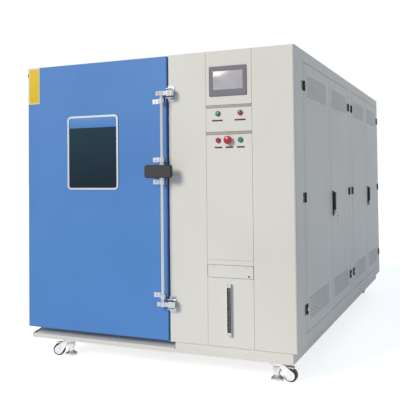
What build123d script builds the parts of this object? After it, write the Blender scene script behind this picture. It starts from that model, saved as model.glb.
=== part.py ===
from build123d import *

import os
from math import cos, radians, sin

# Environmental test chamber: an insulated chamber with a tall door on the left, and on the right a machine
# cabinet with a console column in its front and four service doors along its side.
# +X runs to the right along the front, the front looks to -Y, +Z is up, and the origin is on the floor
# below the middle of the whole object. Millimetres.

os.makedirs("parts", exist_ok=True)

# Driving dimensions
span = 1786  # blue door's left edge to the cabinet's right side
depth = 3120  # front plane to back panel
cabinet_height = 1680
plinth_height = 65
caster_height = 120
sheet = 2.5  # painted sheet
liner = 2  # stainless sheet
run_gap = 0.08  # radial clearance of a shaft in its bore

# What stands proud of the body on each side
buffer_reach = 35  # rubber buffer, left of the door
key_reach = 34  # key in the lock, right of the side doors
grip_reach = 72  # grip, in front of the front plane
stub_reach = 40  # pipe stubs behind the back panel

# Planes of the body
door_left = -(buffer_reach + span + key_reach) / 2 + buffer_reach
right_side = door_left + span
front = -(grip_reach + depth + stub_reach) / 2 + grip_reach
rear = front + depth
base_z = caster_height + plinth_height
top_z = base_z + cabinet_height
body_left = door_left + 25
control_left = door_left + 1018
frame_front = front + 103  # face that the door gasket meets
partition_x = door_left + 1003  # right face of the insulated box

# Chamber cavity inside its liner
cavity_x = (door_left + 125, door_left + 905)
cavity_y = (frame_front + sheet, front + 3000)
cavity_z = (base_z + 130, base_z + 1550)
throat_depth = 40

# Blue door and its window
door_x = (door_left, door_left + 1010)
door_y = (front, front + 93)
door_z = (base_z + 2, base_z + 1678)
plug_inset = 20
plug_back = front + 133
window_x = (door_left + 308, door_left + 679)
window_z = (base_z + 884, base_z + 1348)
window_band = 13
window_radius = 28
sight_x = (door_left + 327, door_left + 660)
sight_z = (base_z + 903, base_z + 1268)
sight_radius = 18

# Lock rod on the door
rod_x = door_left + 994
rod_y = front - 38
rod_radius = 10
rod_z = (base_z + 205, base_z + 1467)
arm_heights = (base_z + 220, base_z + 1452)
bracket_heights = (base_z + 265, base_z + 931, base_z + 1062, base_z + 1409)
grip_z = base_z + 993

# Door hinges
hinge_x = door_left - 2
hinge_y = front + 106
hinge_heights = (base_z + 157, base_z + 1531)
hinge_half = 60
knuckle_radius = 9

# Console column in the control front
column_x = (door_left + 1262, door_left + 1540)
console_x = (column_x[0] + 1, column_x[1] - 1)
plate_depth = 12
screen_plate_z = (base_z + 1369, top_z)
lamp_plate_z = (base_z + 1216, base_z + 1351)
switch_plate_z = (base_z + 488, base_z + 1198)
head_bar_z = (base_z + 460, base_z + 487)
flap_z = (base_z + 388, base_z + 458)
gauge_plate_z = (base_z, base_z + 386)
screen_x = (door_left + 1284, door_left + 1512)
screen_z = (base_z + 1419, base_z + 1590)
lamp_z = base_z + 1319
button_z = base_z + 1166
lamp_columns = (door_left + 1337, door_left + 1472)
red_x = door_left + 1337
stop_x = door_left + 1401
green_x = door_left + 1472
collar_spots = ((lamp_columns[0], lamp_z), (lamp_columns[1], lamp_z))
collar_spots += ((red_x, button_z), (stop_x, button_z), (green_x, button_z))
thread_radius = 11
recess_radius = 12
stem_radius = 8
gauge_x = door_left + 1396
gauge_z = (base_z + 64, base_z + 355)
float_z = base_z + 141

# Right side: two bays, each with a pair of service doors
side_strip_end = front + 195
bay_z = (base_z + 65, base_z + 1615)
post_x = (right_side - 71, right_side - 24)
frame_x = (right_side - 46, right_side)
mullion_y = (front + 1570, front + 1700)
rear_post_y = (front + 3075, rear - sheet)
service_thickness = 22
service_z = (base_z + 67, base_z + 1613)
# Each service door: free edge, hinge edge, and hinge axis, along Y
service_doors = (
    (front + 881, front + 200, front + 197.5),
    (front + 884, front + 1565, front + 1567.5),
    (front + 2386, front + 1705, front + 1702.5),
    (front + 2389, front + 3070, front + 3072.5),
)
side_hinge_x = right_side + 5
side_hinge_heights = (base_z + 203, base_z + 835, base_z + 1475)
side_hinge_half = 28
side_leaf = 37
side_knuckle_radius = 5
side_pin_radius = 2.5
vent_heights = (base_z + 195, base_z + 1483)
slot_rows = 4
slot_columns = 7
slot_pitch = (74, 33)
slot_size = (46, 12)
swing_offset = 81  # from a door pair's middle joint to the handle
swing_z = base_z + 769
swing_hub_z = swing_z + 62
lock_z = swing_z - 59

# Castors: place, where the swivel axis is, and the way the wheel trails, in degrees from +X
casters = (
    ("front_left", door_left + 252, front + 112, 202),
    ("front_right", door_left + 1636, front + 108, 0),
    ("rear_left", door_left + 252, rear - 130, -90),
    ("rear_right", door_left + 1650, rear - 120, -90),
)
wheel_radius = 37.5
wheel_half_width = 17
wheel_trail = 78

# Machinery
shaft_y = front + 1250
shaft_z = base_z + 1150
shaft_radius = 12
condenser_y = front + 2046
condenser_z = base_z + 400


def front_plane(y):
    """Upright plane at depth y that looks to the front: local x is X, local y is Z."""
    return Plane(origin=(0, y, 0), x_dir=(1, 0, 0), z_dir=(0, -1, 0))


def side_plane(x):
    """Upright plane at x that looks to the right: local x is Y, local y is Z."""
    return Plane(origin=(x, 0, 0), x_dir=(0, 1, 0), z_dir=(1, 0, 0))


def from_left(low, high):
    """Range along X measured from the blue door's left edge."""
    return (door_left + low, door_left + high)


def from_front(low, high):
    """Range along Y measured from the front plane."""
    return (front + low, front + high)


def from_base(low, high):
    """Range along Z measured from the bottom of the panels."""
    return (base_z + low, base_z + high)


def middle(pair):
    """Midpoint of a range."""
    return (pair[0] + pair[1]) / 2


def length(pair):
    """Length of a range."""
    return pair[1] - pair[0]


def grow(pair, amount):
    """Range with both ends moved outwards by amount."""
    return (pair[0] - amount, pair[1] + amount)


def about(value, half):
    """Range of half on each side of a value."""
    return (value - half, value + half)


def bar(x, y, z, mode=Mode.ADD):
    """Straight block that fills the ranges x, y and z."""
    with Locations((middle(x), middle(y), middle(z))):
        Box(length(x), length(y), length(z), mode=mode)


def disc_y(x, z, radius, y, mode=Mode.ADD):
    """Round bar along Y that fills the range y."""
    with Locations((x, middle(y), z)):
        Cylinder(radius, length(y), rotation=(90, 0, 0), mode=mode)


def disc_x(y, z, radius, x, mode=Mode.ADD):
    """Round bar along X that fills the range x."""
    with Locations((middle(x), y, z)):
        Cylinder(radius, length(x), rotation=(0, 90, 0), mode=mode)


def disc_z(x, y, radius, z, mode=Mode.ADD):
    """Round bar along Z that fills the range z."""
    with Locations((x, y, middle(z))):
        Cylinder(radius, length(z), mode=mode)


def outline(horizontal, vertical, radius=0, mode=Mode.ADD):
    """Rectangle over two ranges of the sketch plane, with rounded corners where a radius is given."""
    with Locations((middle(horizontal), middle(vertical))):
        if radius:
            RectangleRounded(length(horizontal), length(vertical), radius, mode=mode)
        else:
            Rectangle(length(horizontal), length(vertical), mode=mode)


def tray(x, z, y, mode=Mode.ADD):
    """Folded tray with its face at the front of the range y and its open side at the back."""
    bar(x, y, z, mode)
    bar(grow(x, -sheet), (y[0] + sheet, y[1]), grow(z, -sheet), Mode.SUBTRACT)


# Welded plinth: long rails and cross rails of box section under two floor plates, each a piece of its own
rail = 50
weld_gap = 0.1
plinth_top = base_z - 3
plinth_z = (caster_height, plinth_top - weld_gap)
plinth_x = (body_left + 30, right_side - 30)
plinth_rear = rear - 30
middle_rail = from_left(1050, 1050 + rail)
left_cell = (plinth_x[0] + rail + weld_gap, middle_rail[0] - weld_gap)
right_cell = (middle_rail[1] + weld_gap, plinth_x[1] - rail - weld_gap)
right_front = front + 8
floor_inset = 3
cross_rails = (front + 1100, front + 2100, plinth_rear - rail)
with BuildPart() as base_frame:
    bar((plinth_x[0], plinth_x[0] + rail), (frame_front, plinth_rear), plinth_z)
    bar(middle_rail, (right_front, plinth_rear), plinth_z)
    bar((plinth_x[1] - rail, plinth_x[1]), (right_front, plinth_rear), plinth_z)
    for cell, cell_front in ((left_cell, frame_front), (right_cell, right_front)):
        for y in (cell_front, *cross_rails):
            bar(cell, (y, y + rail), plinth_z)
    floor_split = control_left + floor_inset
    floor_z = (plinth_top, base_z)
    bar((body_left + floor_inset, floor_split - weld_gap), (frame_front, rear - floor_inset), floor_z)
    bar((floor_split, right_side - floor_inset), (front + floor_inset, rear - floor_inset), floor_z)
base_frame.part.label = "base_frame"
export_step(base_frame.part, "parts/base_frame.step")

# Folded drip sill below the blue door: front lip, gutter, rising shelf and back flange
sill_x = from_left(29, 1045)
lip_z = from_base(-65, -37)
lip_return = 14
shelf_front = base_z - 46
shelf_back = base_z - 30
flange_top = base_z - 4
with BuildPart() as drip_sill:
    with BuildSketch(side_plane(sill_x[0])):
        with BuildLine():
            Polyline(
                (frame_front, flange_top),
                (frame_front, shelf_back - liner),
                (front + liner, shelf_front - liner),
                (front + liner, lip_z[0] + liner),
                (front + lip_return, lip_z[0] + liner),
                (front + lip_return, lip_z[0]),
                (front, lip_z[0]),
                (front, lip_z[1]),
                (front + liner, lip_z[1]),
                (front + liner, shelf_front),
                (frame_front - liner, shelf_back),
                (frame_front - liner, flange_top),
                close=True,
            )
        make_face()
    extrude(amount=length(sill_x))
    for x in (sill_x[0], sill_x[1] - liner):
        with BuildSketch(side_plane(x)):
            with BuildLine():
                Polyline(
                    (front + liner, shelf_front),
                    (front + liner, lip_z[1]),
                    (frame_front - liner, shelf_back + 8),
                    (frame_front - liner, shelf_back),
                    close=True,
                )
            make_face()
        extrude(amount=liner)
drip_sill.part.label = "drip_sill"
export_step(drip_sill.part, "parts/drip_sill.step")

# Front frame round the chamber mouth: two stiles and two rails of angle section, whose flanges line the mouth
mouth_x = grow(cavity_x, -liner)
mouth_z = grow(cavity_z, -liner)
frame_y = (frame_front, frame_front + sheet)
throat_y = (frame_front, frame_front + throat_depth)
with BuildPart() as front_frame:
    for outer, inner in ((body_left, mouth_x[0]), (control_left, mouth_x[1])):
        inward = 1 if inner > outer else -1
        bar(sorted((outer, inner)), frame_y, (base_z, top_z))
        bar(sorted((inner, inner - inward * liner)), throat_y, cavity_z)
    for outer, inner in ((base_z, mouth_z[0]), (top_z, mouth_z[1])):
        inward = 1 if inner > outer else -1
        bar(grow(mouth_x, -weld_gap), frame_y, sorted((outer, inner)))
        bar(grow(mouth_x, -weld_gap), throat_y, sorted((inner, inner - inward * liner)))
front_frame.part.label = "front_frame"
export_step(front_frame.part, "parts/front_frame.step")

# Left side panel
with BuildPart() as left_panel:
    bar((body_left, body_left + sheet), (frame_front + sheet, rear - sheet), (base_z, top_z))
left_panel.part.label = "left_panel"
export_step(left_panel.part, "parts/left_panel.step")

# Roof tray that drops in between the outer panels
roof_depth = 18
roof_inset = 16
with BuildPart() as roof_panel:
    with BuildSketch(Plane.XY.offset(top_z - roof_depth)):
        with BuildLine():
            Polyline(
                (body_left + sheet, frame_front + sheet),
                (control_left + sheet, frame_front + sheet),
                (control_left + sheet, front + roof_inset),
                (frame_x[0], front + roof_inset),
                (frame_x[0], rear - sheet),
                (body_left + sheet, rear - sheet),
                close=True,
            )
        make_face()
    extrude(amount=roof_depth)
    offset(amount=-sheet, openings=roof_panel.faces().sort_by(Axis.Z)[0])
roof_panel.part.label = "roof_panel"
export_step(roof_panel.part, "parts/roof_panel.step")

# Back panel with air slots behind the machinery and holes for the pipes
stub_z = base_z + 120
inlet = ((door_left + 1400, stub_z), 10)
drain = ((door_left + 1560, stub_z), 16)
gland = ((door_left + 1250, stub_z), 13)
rear_stubs = (inlet, drain, gland)
with BuildPart() as rear_panel:
    with BuildSketch(front_plane(rear)):
        outline((body_left, right_side), (base_z, top_z))
        with Locations((door_left + 1400, base_z + 420), (door_left + 1400, base_z + 1300)):
            with GridLocations(0, 34, 1, 7):
                Rectangle(420, 14, mode=Mode.SUBTRACT)
        for spot, radius in rear_stubs:
            with Locations(spot):
                Circle(radius, mode=Mode.SUBTRACT)
    extrude(amount=sheet)
rear_panel.part.label = "rear_panel"
export_step(rear_panel.part, "parts/rear_panel.step")

# Water inlet, drain and mains gland: a stub through the panel with a hexagon outside and a nut inside
flange_thickness = 5
stub_y = (rear - 30, rear + stub_reach)
wall = 3
with BuildPart() as rear_fittings:
    for spot, radius in rear_stubs:
        disc_y(spot[0], spot[1], radius, stub_y)
        for y in (rear + flange_thickness, rear - sheet):
            with BuildSketch(front_plane(y)):
                with Locations(spot):
                    RegularPolygon(radius + 8, 6)
            extrude(amount=flange_thickness)
        disc_y(spot[0], spot[1], radius - wall, grow(stub_y, 1), Mode.SUBTRACT)
rear_fittings.part.label = "rear_fittings"
export_step(rear_fittings.part, "parts/rear_fittings.step")

# Foam slabs of the chamber's five walls; the fan shaft has its bore through the right one
foam_top = top_z - roof_depth - 2
shaft_hole = shaft_radius + 6
liner_x = grow(cavity_x, liner)
liner_y = (cavity_y[0], cavity_y[1] + liner)
liner_z = grow(cavity_z, liner)
foam_y = (frame_front + sheet + weld_gap, rear - sheet)
foam_outer_x = (body_left + sheet, partition_x)
with BuildPart() as insulation:
    bar(foam_outer_x, foam_y, (base_z, liner_z[0]))
    bar(foam_outer_x, foam_y, (liner_z[1], foam_top))
    slab_z = grow(liner_z, -weld_gap)
    bar((foam_outer_x[0], liner_x[0]), foam_y, slab_z)
    bar((liner_x[1], foam_outer_x[1]), foam_y, slab_z)
    bar(grow(liner_x, -weld_gap), (liner_y[1], foam_y[1]), slab_z)
    disc_x(shaft_y, shaft_z, shaft_hole, (cavity_x[1], partition_x), Mode.SUBTRACT)
insulation.part.label = "insulation"
export_step(insulation.part, "parts/insulation.step")

# Stainless liner of five sheets, open at the mouth
with BuildPart() as chamber_liner:
    for z in ((liner_z[0], cavity_z[0]), (cavity_z[1], liner_z[1])):
        bar(liner_x, liner_y, z)
    side_z = grow(cavity_z, -weld_gap)
    for x in ((liner_x[0], cavity_x[0]), (cavity_x[1], liner_x[1])):
        bar(x, liner_y, side_z)
    bar(grow(cavity_x, -weld_gap), (cavity_y[1], liner_y[1]), side_z)
    disc_x(shaft_y, shaft_z, shaft_hole, (middle(cavity_x), cavity_x[1] + liner), Mode.SUBTRACT)
chamber_liner.part.label = "chamber_liner"
export_step(chamber_liner.part, "parts/chamber_liner.step")

# Air baffle in front of the duct: round inlet at the blower, supply slots above, return slots below
baffle_x = from_left(783, 785)
baffle_y = from_front(170, 2990)
baffle_z = (cavity_z[0], cavity_z[1])
blower_radius = 178
with BuildPart() as air_baffle:
    with BuildSketch(side_plane(baffle_x[0])):
        outline(baffle_y, baffle_z)
        with Locations((shaft_y, shaft_z)):
            Circle(blower_radius - 38, mode=Mode.SUBTRACT)
        for z in (base_z + 1490, base_z + 200):
            with Locations((middle(baffle_y), z)):
                with GridLocations(330, 0, 8, 1):
                    Rectangle(240, 40, mode=Mode.SUBTRACT)
    extrude(amount=length(baffle_x))
    for y in (baffle_y[0], baffle_y[1] - liner):
        bar((baffle_x[1], cavity_x[1]), (y, y + liner), baffle_z)
air_baffle.part.label = "air_baffle"
export_step(air_baffle.part, "parts/air_baffle.step")

# Evaporator in the duct below the blower: a finned block with the tube's returns at its two ends
coil_radius = 8
coil_x = door_left + 842
coil_y = from_front(700, 1900)
coil_z = from_base(260, 700)
coil_pitch = 66
coil_reach = 24
coil_fins = 16
with BuildPart() as evaporator:
    bar(about(coil_x, 26), coil_y, coil_z)
    with Locations((coil_x, middle(coil_y), middle(coil_z))):
        with GridLocations(0, length(coil_y) / coil_fins, 1, coil_fins):
            Box(76, 4, length(coil_z))
    for end, turn, first, bends in ((coil_y[0], -1, 0, 3), (coil_y[1], 1, 1, 2)):
        for bend in range(bends):
            tube_z = coil_z[0] + 55 + (2 * bend + first) * coil_pitch
            for z in (tube_z, tube_z + coil_pitch):
                disc_y(coil_x, z, coil_radius, sorted((end, end + turn * coil_reach)))
            elbow_z = (tube_z - coil_radius - 1, tube_z + coil_pitch + coil_radius + 1)
            disc_z(coil_x, end + turn * coil_reach, coil_radius + 1, elbow_z)
evaporator.part.label = "evaporator"
export_step(evaporator.part, "parts/evaporator.step")

# Blower wheel with backward-curved blades, its hub and the shaft through the chamber wall
blower_x = from_left(796, 880)
blade_count = 14
shaft_x = (blower_x[0] + 30, door_left + 1100)
with BuildSketch() as blade:
    with BuildLine():
        ThreePointArc((118, 0), (150, 16), (174, 46))
    trace(line_width=2)
with BuildPart() as circulation_fan:
    disc_x(shaft_y, shaft_z, blower_radius, (blower_x[1] - 3, blower_x[1]))
    disc_x(shaft_y, shaft_z, 34, (blower_x[0] + 30, blower_x[1]))
    with BuildSketch(side_plane(blower_x[0])):
        with Locations((shaft_y, shaft_z)):
            Circle(blower_radius)
            Circle(122, mode=Mode.SUBTRACT)
    extrude(amount=3)
    with BuildSketch(side_plane(blower_x[0] + 3)):
        with Locations((shaft_y, shaft_z)):
            with PolarLocations(0, blade_count):
                add(blade.sketch)
    extrude(amount=length(blower_x) - 6)
    disc_x(shaft_y, shaft_z, shaft_radius, shaft_x)
circulation_fan.part.label = "circulation_fan"
export_step(circulation_fan.part, "parts/circulation_fan.step")

# Fan motor on the outside of the chamber wall: flange, ribbed can and end bell
motor_x = from_left(1003, 1190)
motor_radius = 72
with BuildPart() as fan_motor:
    disc_x(shaft_y, shaft_z, 100, (motor_x[0], motor_x[0] + 12))
    disc_x(shaft_y, shaft_z, motor_radius, motor_x)
    chamfer(fan_motor.edges().sort_by(Axis.X)[-1], 14)
    with BuildSketch(side_plane(motor_x[0] + 20)):
        with Locations((shaft_y, shaft_z)):
            with PolarLocations(motor_radius + 2, 12):
                Rectangle(12, 3)
    extrude(amount=120)
    disc_x(shaft_y, shaft_z, shaft_radius + run_gap, (motor_x[0], shaft_x[1] + 5), Mode.SUBTRACT)
fan_motor.part.label = "fan_motor"
export_step(fan_motor.part, "parts/fan_motor.step")

# Control cabinet front: two wings of folded sheet with rounded vertical edges, open between them
fold_radius = 12
half_sheet = sheet / 2
with BuildPart() as control_front:
    with BuildSketch(Plane.XY.offset(base_z)):
        with BuildLine():
            FilletPolyline(
                (control_left + half_sheet, frame_front),
                (control_left + half_sheet, front + half_sheet),
                (column_x[0] - half_sheet, front + half_sheet),
                (column_x[0] - half_sheet, front + plate_depth),
                radius=[fold_radius, 2],
            )
        trace(line_width=sheet)
    extrude(amount=cabinet_height)
    with BuildSketch(Plane.XY.offset(base_z)):
        with BuildLine():
            FilletPolyline(
                (column_x[1] + half_sheet, front + plate_depth),
                (column_x[1] + half_sheet, front + half_sheet),
                (right_side - half_sheet, front + half_sheet),
                (right_side - half_sheet, side_strip_end - half_sheet),
                (right_side - service_thickness, side_strip_end - half_sheet),
                radius=[2, fold_radius, 2],
            )
        trace(line_width=sheet)
    extrude(amount=cabinet_height)
control_front.part.label = "control_front"
export_step(control_front.part, "parts/control_front.step")

# Filler flap's hinge line, just behind the flap and below the head bar
flap_axis = (front + 4.5, flap_z[1] - 5)
flap_pin_radius = 2
flap_knuckle_radius = 4.3
lug_width = 3
knuckle_width = 8
flap_knuckles = (console_x[0] + 40, console_x[1] - 40)
lug_offsets = (-knuckle_width / 2 - lug_width - 0.3, knuckle_width / 2 + 0.3)

# Console column: four plates, the flap's head bar with its hinge lugs and pins, and two sunk strips
strip_depth = 4
console_y = (front, front + plate_depth)
with BuildPart() as console_plates:
    for z in (screen_plate_z, lamp_plate_z, switch_plate_z, head_bar_z, gauge_plate_z):
        tray(console_x, z, console_y)
    for gap in ((lamp_plate_z[1], screen_plate_z[0]), (switch_plate_z[1], lamp_plate_z[0])):
        tray(console_x, grow(gap, -1), (front + strip_depth, console_y[1]))
    bar(grow(screen_x, -8), grow(console_y, 1), grow(screen_z, -8), Mode.SUBTRACT)
    for spot in collar_spots:
        disc_y(spot[0], spot[1], thread_radius + 0.2, grow(console_y, 1), Mode.SUBTRACT)
    for x in flap_knuckles:
        for offset_x in lug_offsets:
            lug_x = (x + offset_x, x + offset_x + lug_width)
            bar(lug_x, (front + 1, front + 9), (flap_axis[1] - 3.5, head_bar_z[0]))
        disc_x(*flap_axis, flap_pin_radius, about(x, knuckle_width / 2 + 1))
console_plates.part.label = "console_plates"
export_step(console_plates.part, "parts/console_plates.step")

# Touch screen: bevelled bezel with a sunk display, and its housing behind the plate
bezel_reach = 6
display_x = from_left(1309, 1490)
display_z = from_base(1455, 1562)
with BuildPart() as touch_screen:
    with BuildSketch(front_plane(front)):
        outline(screen_x, screen_z, 6)
    extrude(amount=bezel_reach)
    chamfer(touch_screen.faces().sort_by(Axis.Y)[0].edges(), 2)
    bar(display_x, (front - bezel_reach, front - bezel_reach + 1.5), display_z, Mode.SUBTRACT)
    bar(grow(screen_x, -9), (front, front + 42), grow(screen_z, -9))
touch_screen.part.label = "touch_screen"
export_step(touch_screen.part, "parts/touch_screen.step")

# Round collars of the two lamps and three buttons, clamped to the plate by a nut behind
collar_reach = 5
collar_back = front + 30
with BuildPart() as switch_collars:
    for spot in collar_spots:
        disc_y(spot[0], spot[1], 15, (front - collar_reach, front))
        disc_y(spot[0], spot[1], thread_radius, (front - collar_reach, collar_back))
        with BuildSketch(front_plane(front + sheet + 6)):
            with Locations(spot):
                RegularPolygon(17, 6)
        extrude(amount=6)
        disc_y(spot[0], spot[1], recess_radius + 0.1, (front - collar_reach, front - 1), Mode.SUBTRACT)
        disc_y(spot[0], spot[1], stem_radius + run_gap, (front - collar_reach, collar_back), Mode.SUBTRACT)
switch_collars.part.label = "switch_collars"
export_step(switch_collars.part, "parts/switch_collars.step")

# Faceted lenses of the two lamps
with BuildPart() as pilot_lenses:
    for x in lamp_columns:
        with BuildSketch(Plane(origin=(x, 0, lamp_z), x_dir=(1, 0, 0), z_dir=(0, 0, 1))):
            with BuildLine():
                Polyline(
                    (0, front + 20),
                    (stem_radius, front + 20),
                    (stem_radius, front - 1),
                    (recess_radius, front - 1),
                    (recess_radius, front - 7),
                    (8, front - 10),
                    (3, front - 11),
                    (0, front - 11),
                    close=True,
                )
            make_face()
        revolve(axis=Axis((x, 0, lamp_z), (0, 1, 0)))
pilot_lenses.part.label = "pilot_lenses"
export_step(pilot_lenses.part, "parts/pilot_lenses.step")

# Flat push buttons that slide in their collars
cap_y = (front - 8.5, front - 4.3)
for name, x in (("red_button", red_x), ("green_button", green_x)):
    with BuildPart() as push_button:
        disc_y(x, button_z, recess_radius, cap_y)
        chamfer(push_button.edges().filter_by(GeomType.CIRCLE).sort_by(Axis.Y)[0], 1)
        disc_y(x, button_z, stem_radius, (cap_y[1], collar_back))
    push_button.part.label = name
    export_step(push_button.part, f"parts/{name}.step")

# Mushroom button
mushroom_reach = 30
mushroom_radius = 23.5
with BuildPart() as stop_button:
    with BuildSketch(Plane(origin=(stop_x, 0, button_z), x_dir=(1, 0, 0), z_dir=(0, 0, 1))):
        with BuildLine():
            Polyline(
                (0, collar_back),
                (stem_radius, collar_back),
                (stem_radius, front - 6.5),
                (recess_radius, front - 6.5),
                (recess_radius, front - 15),
                (mushroom_radius - 3, front - 15),
                (mushroom_radius, front - 18),
                (mushroom_radius, front - 22),
                (mushroom_radius - 6, front - 27),
                (5, front - mushroom_reach),
                (0, front - mushroom_reach),
                close=True,
            )
        make_face()
    revolve(axis=Axis((stop_x, 0, button_z), (0, 1, 0)))
stop_button.part.label = "stop_button"
export_step(stop_button.part, "parts/stop_button.step")

# Filler flap, notched round the head bar's lugs, with one knuckle between each pair of them
flap_x = grow(console_x, -1.5)
with BuildPart() as filler_flap:
    bar(flap_x, (front, front + sheet), flap_z)
    fillet(filler_flap.edges().filter_by(Axis.Y), 3)
    for x in flap_knuckles:
        notch_x = about(x, knuckle_width / 2 + lug_width + 0.6)
        bar(notch_x, (front - 1, front + sheet + 1), (flap_axis[1] - 6, flap_z[1] + 1), Mode.SUBTRACT)
        knuckle_x = about(x, knuckle_width / 2)
        bar(knuckle_x, (front, flap_axis[0]), about(flap_axis[1] - 4, 3))
        bar(knuckle_x, (front + 1, flap_axis[0]), about(flap_axis[1], 3.5))
        disc_x(*flap_axis, flap_knuckle_radius, knuckle_x)
        disc_x(*flap_axis, flap_pin_radius + run_gap, grow(knuckle_x, 1), Mode.SUBTRACT)
filler_flap.part.label = "filler_flap"
export_step(filler_flap.part, "parts/filler_flap.step")

# Water level gauge: back plate, two side channels, end caps and a clear tube
gauge_half = 13
cap_height = 20
tube_radius = 6.5
tube_bore = 5.2
tube_y = front - 9
with BuildPart() as level_gauge:
    bar(about(gauge_x, gauge_half), (front - 1.5, front), gauge_z)
    for side in (-1, 1):
        bar(about(gauge_x + side * (gauge_half - 1), 1), (front - 15, front - 1.5), gauge_z)
    for z in ((gauge_z[0], gauge_z[0] + cap_height), (gauge_z[1] - cap_height, gauge_z[1])):
        with BuildSketch(Plane.XY.offset(z[0])):
            with Locations((gauge_x, front - 8.5)):
                RectangleRounded(2 * gauge_half, 17, 3)
        extrude(amount=cap_height)
    disc_z(gauge_x, tube_y, tube_radius, gauge_z)
    disc_z(gauge_x, tube_y, tube_bore, grow(gauge_z, -cap_height), Mode.SUBTRACT)
level_gauge.part.label = "level_gauge"
export_step(level_gauge.part, "parts/level_gauge.step")

# Float inside the gauge tube
float_half = 8
with BuildPart() as gauge_float:
    disc_z(gauge_x, tube_y, tube_bore - 0.4, about(float_z, float_half))
    chamfer(gauge_float.edges().filter_by(GeomType.CIRCLE), 1.5)
gauge_float.part.label = "gauge_float"
export_step(gauge_float.part, "parts/gauge_float.step")

# Water tank behind the gauge: a closed body, and a filler neck of five plates that opens behind the flap
tank_wall = 3
tank_x = grow(console_x, -14)
tank_y = from_front(50, 340)
tank_z = from_base(20, 372)
neck_x = grow(tank_x, -tank_wall - weld_gap)
neck_y = from_front(16, 130)
lip_low, lip_high = from_base(400, 450)
neck_foot = tank_z[1] + weld_gap
with BuildPart() as water_tank:
    bar(tank_x, tank_y, tank_z)
    chamfer(water_tank.edges().filter_by(Axis.Z), 12)
    bar(neck_x, neck_y, (lip_high - tank_wall, lip_high))
    bar(neck_x, (neck_y[1] - tank_wall, neck_y[1]), (neck_foot, lip_high - tank_wall - weld_gap))
    with BuildSketch(side_plane(neck_x[0])):
        with BuildLine():
            Polyline(
                (neck_y[0], lip_low),
                (tank_y[0], neck_foot),
                (tank_y[0], neck_foot + tank_wall),
                (neck_y[0], lip_low + tank_wall),
                close=True,
            )
        make_face()
    extrude(amount=length(neck_x))
    for x in (tank_x[0], tank_x[1] - tank_wall):
        with BuildSketch(side_plane(x)):
            with BuildLine():
                Polyline(
                    (neck_y[0], lip_low),
                    (neck_y[0], lip_high),
                    (neck_y[1], lip_high),
                    (neck_y[1], neck_foot),
                    (tank_y[0], neck_foot),
                    close=True,
                )
            make_face()
        extrude(amount=tank_wall)
water_tank.part.label = "water_tank"
export_step(water_tank.part, "parts/water_tank.step")

# Frame of the right side: header, sill, mullion and rear post, and a sunk post behind each pair of doors
channel_y = (side_strip_end, rear_post_y[1])
web = 3
sunk_posts = (front + 882.5, front + 2387.5)
with BuildPart() as side_frame:
    for z in ((bay_z[1], top_z), (base_z, bay_z[0])):
        bar(frame_x, channel_y, z)
        bar((frame_x[0], frame_x[1] - web), grow(channel_y, 1), grow(z, -web), Mode.SUBTRACT)
    for y in (mullion_y, rear_post_y):
        bar(frame_x, y, bay_z)
        bar((frame_x[0], frame_x[1] - web), grow(y, -web), grow(bay_z, -web), Mode.SUBTRACT)
    for y in sunk_posts:
        bar(post_x, about(y, 25), grow(bay_z, 20))
        bar((post_x[0], post_x[1] - web), about(y, 25 - web), grow(bay_z, 21), Mode.SUBTRACT)
side_frame.part.label = "side_frame"
export_step(side_frame.part, "parts/side_frame.step")

# Fixed leaves of the twelve service hinges, each with an upper and a lower knuckle round its pin
leaf_gap = 0.1
leaf_x = (right_side + leaf_gap, right_side + 2.6)
knuckle_third = side_hinge_half / 3
clear_knuckle = side_knuckle_radius + 0.8
with BuildPart() as service_hinge_leaves:
    for free_edge, hinge_edge, axis_y in service_doors:
        away = 1 if hinge_edge > free_edge else -1
        near = axis_y + away * clear_knuckle
        far = axis_y + away * side_leaf
        for z in side_hinge_heights:
            bar(leaf_x, sorted((near, far)), about(z, side_hinge_half))
            for side in (-1, 1):
                knuckle_z = sorted((z + side * (knuckle_third + 0.3), z + side * side_hinge_half))
                bar(leaf_x, sorted((axis_y, near)), knuckle_z)
                disc_z(side_hinge_x + leaf_gap, axis_y, side_knuckle_radius, knuckle_z)
            disc_z(side_hinge_x + leaf_gap, axis_y, side_pin_radius, about(z, side_hinge_half))
service_hinge_leaves.part.label = "service_hinge_leaves"
export_step(service_hinge_leaves.part, "parts/service_hinge_leaves.step")

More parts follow.
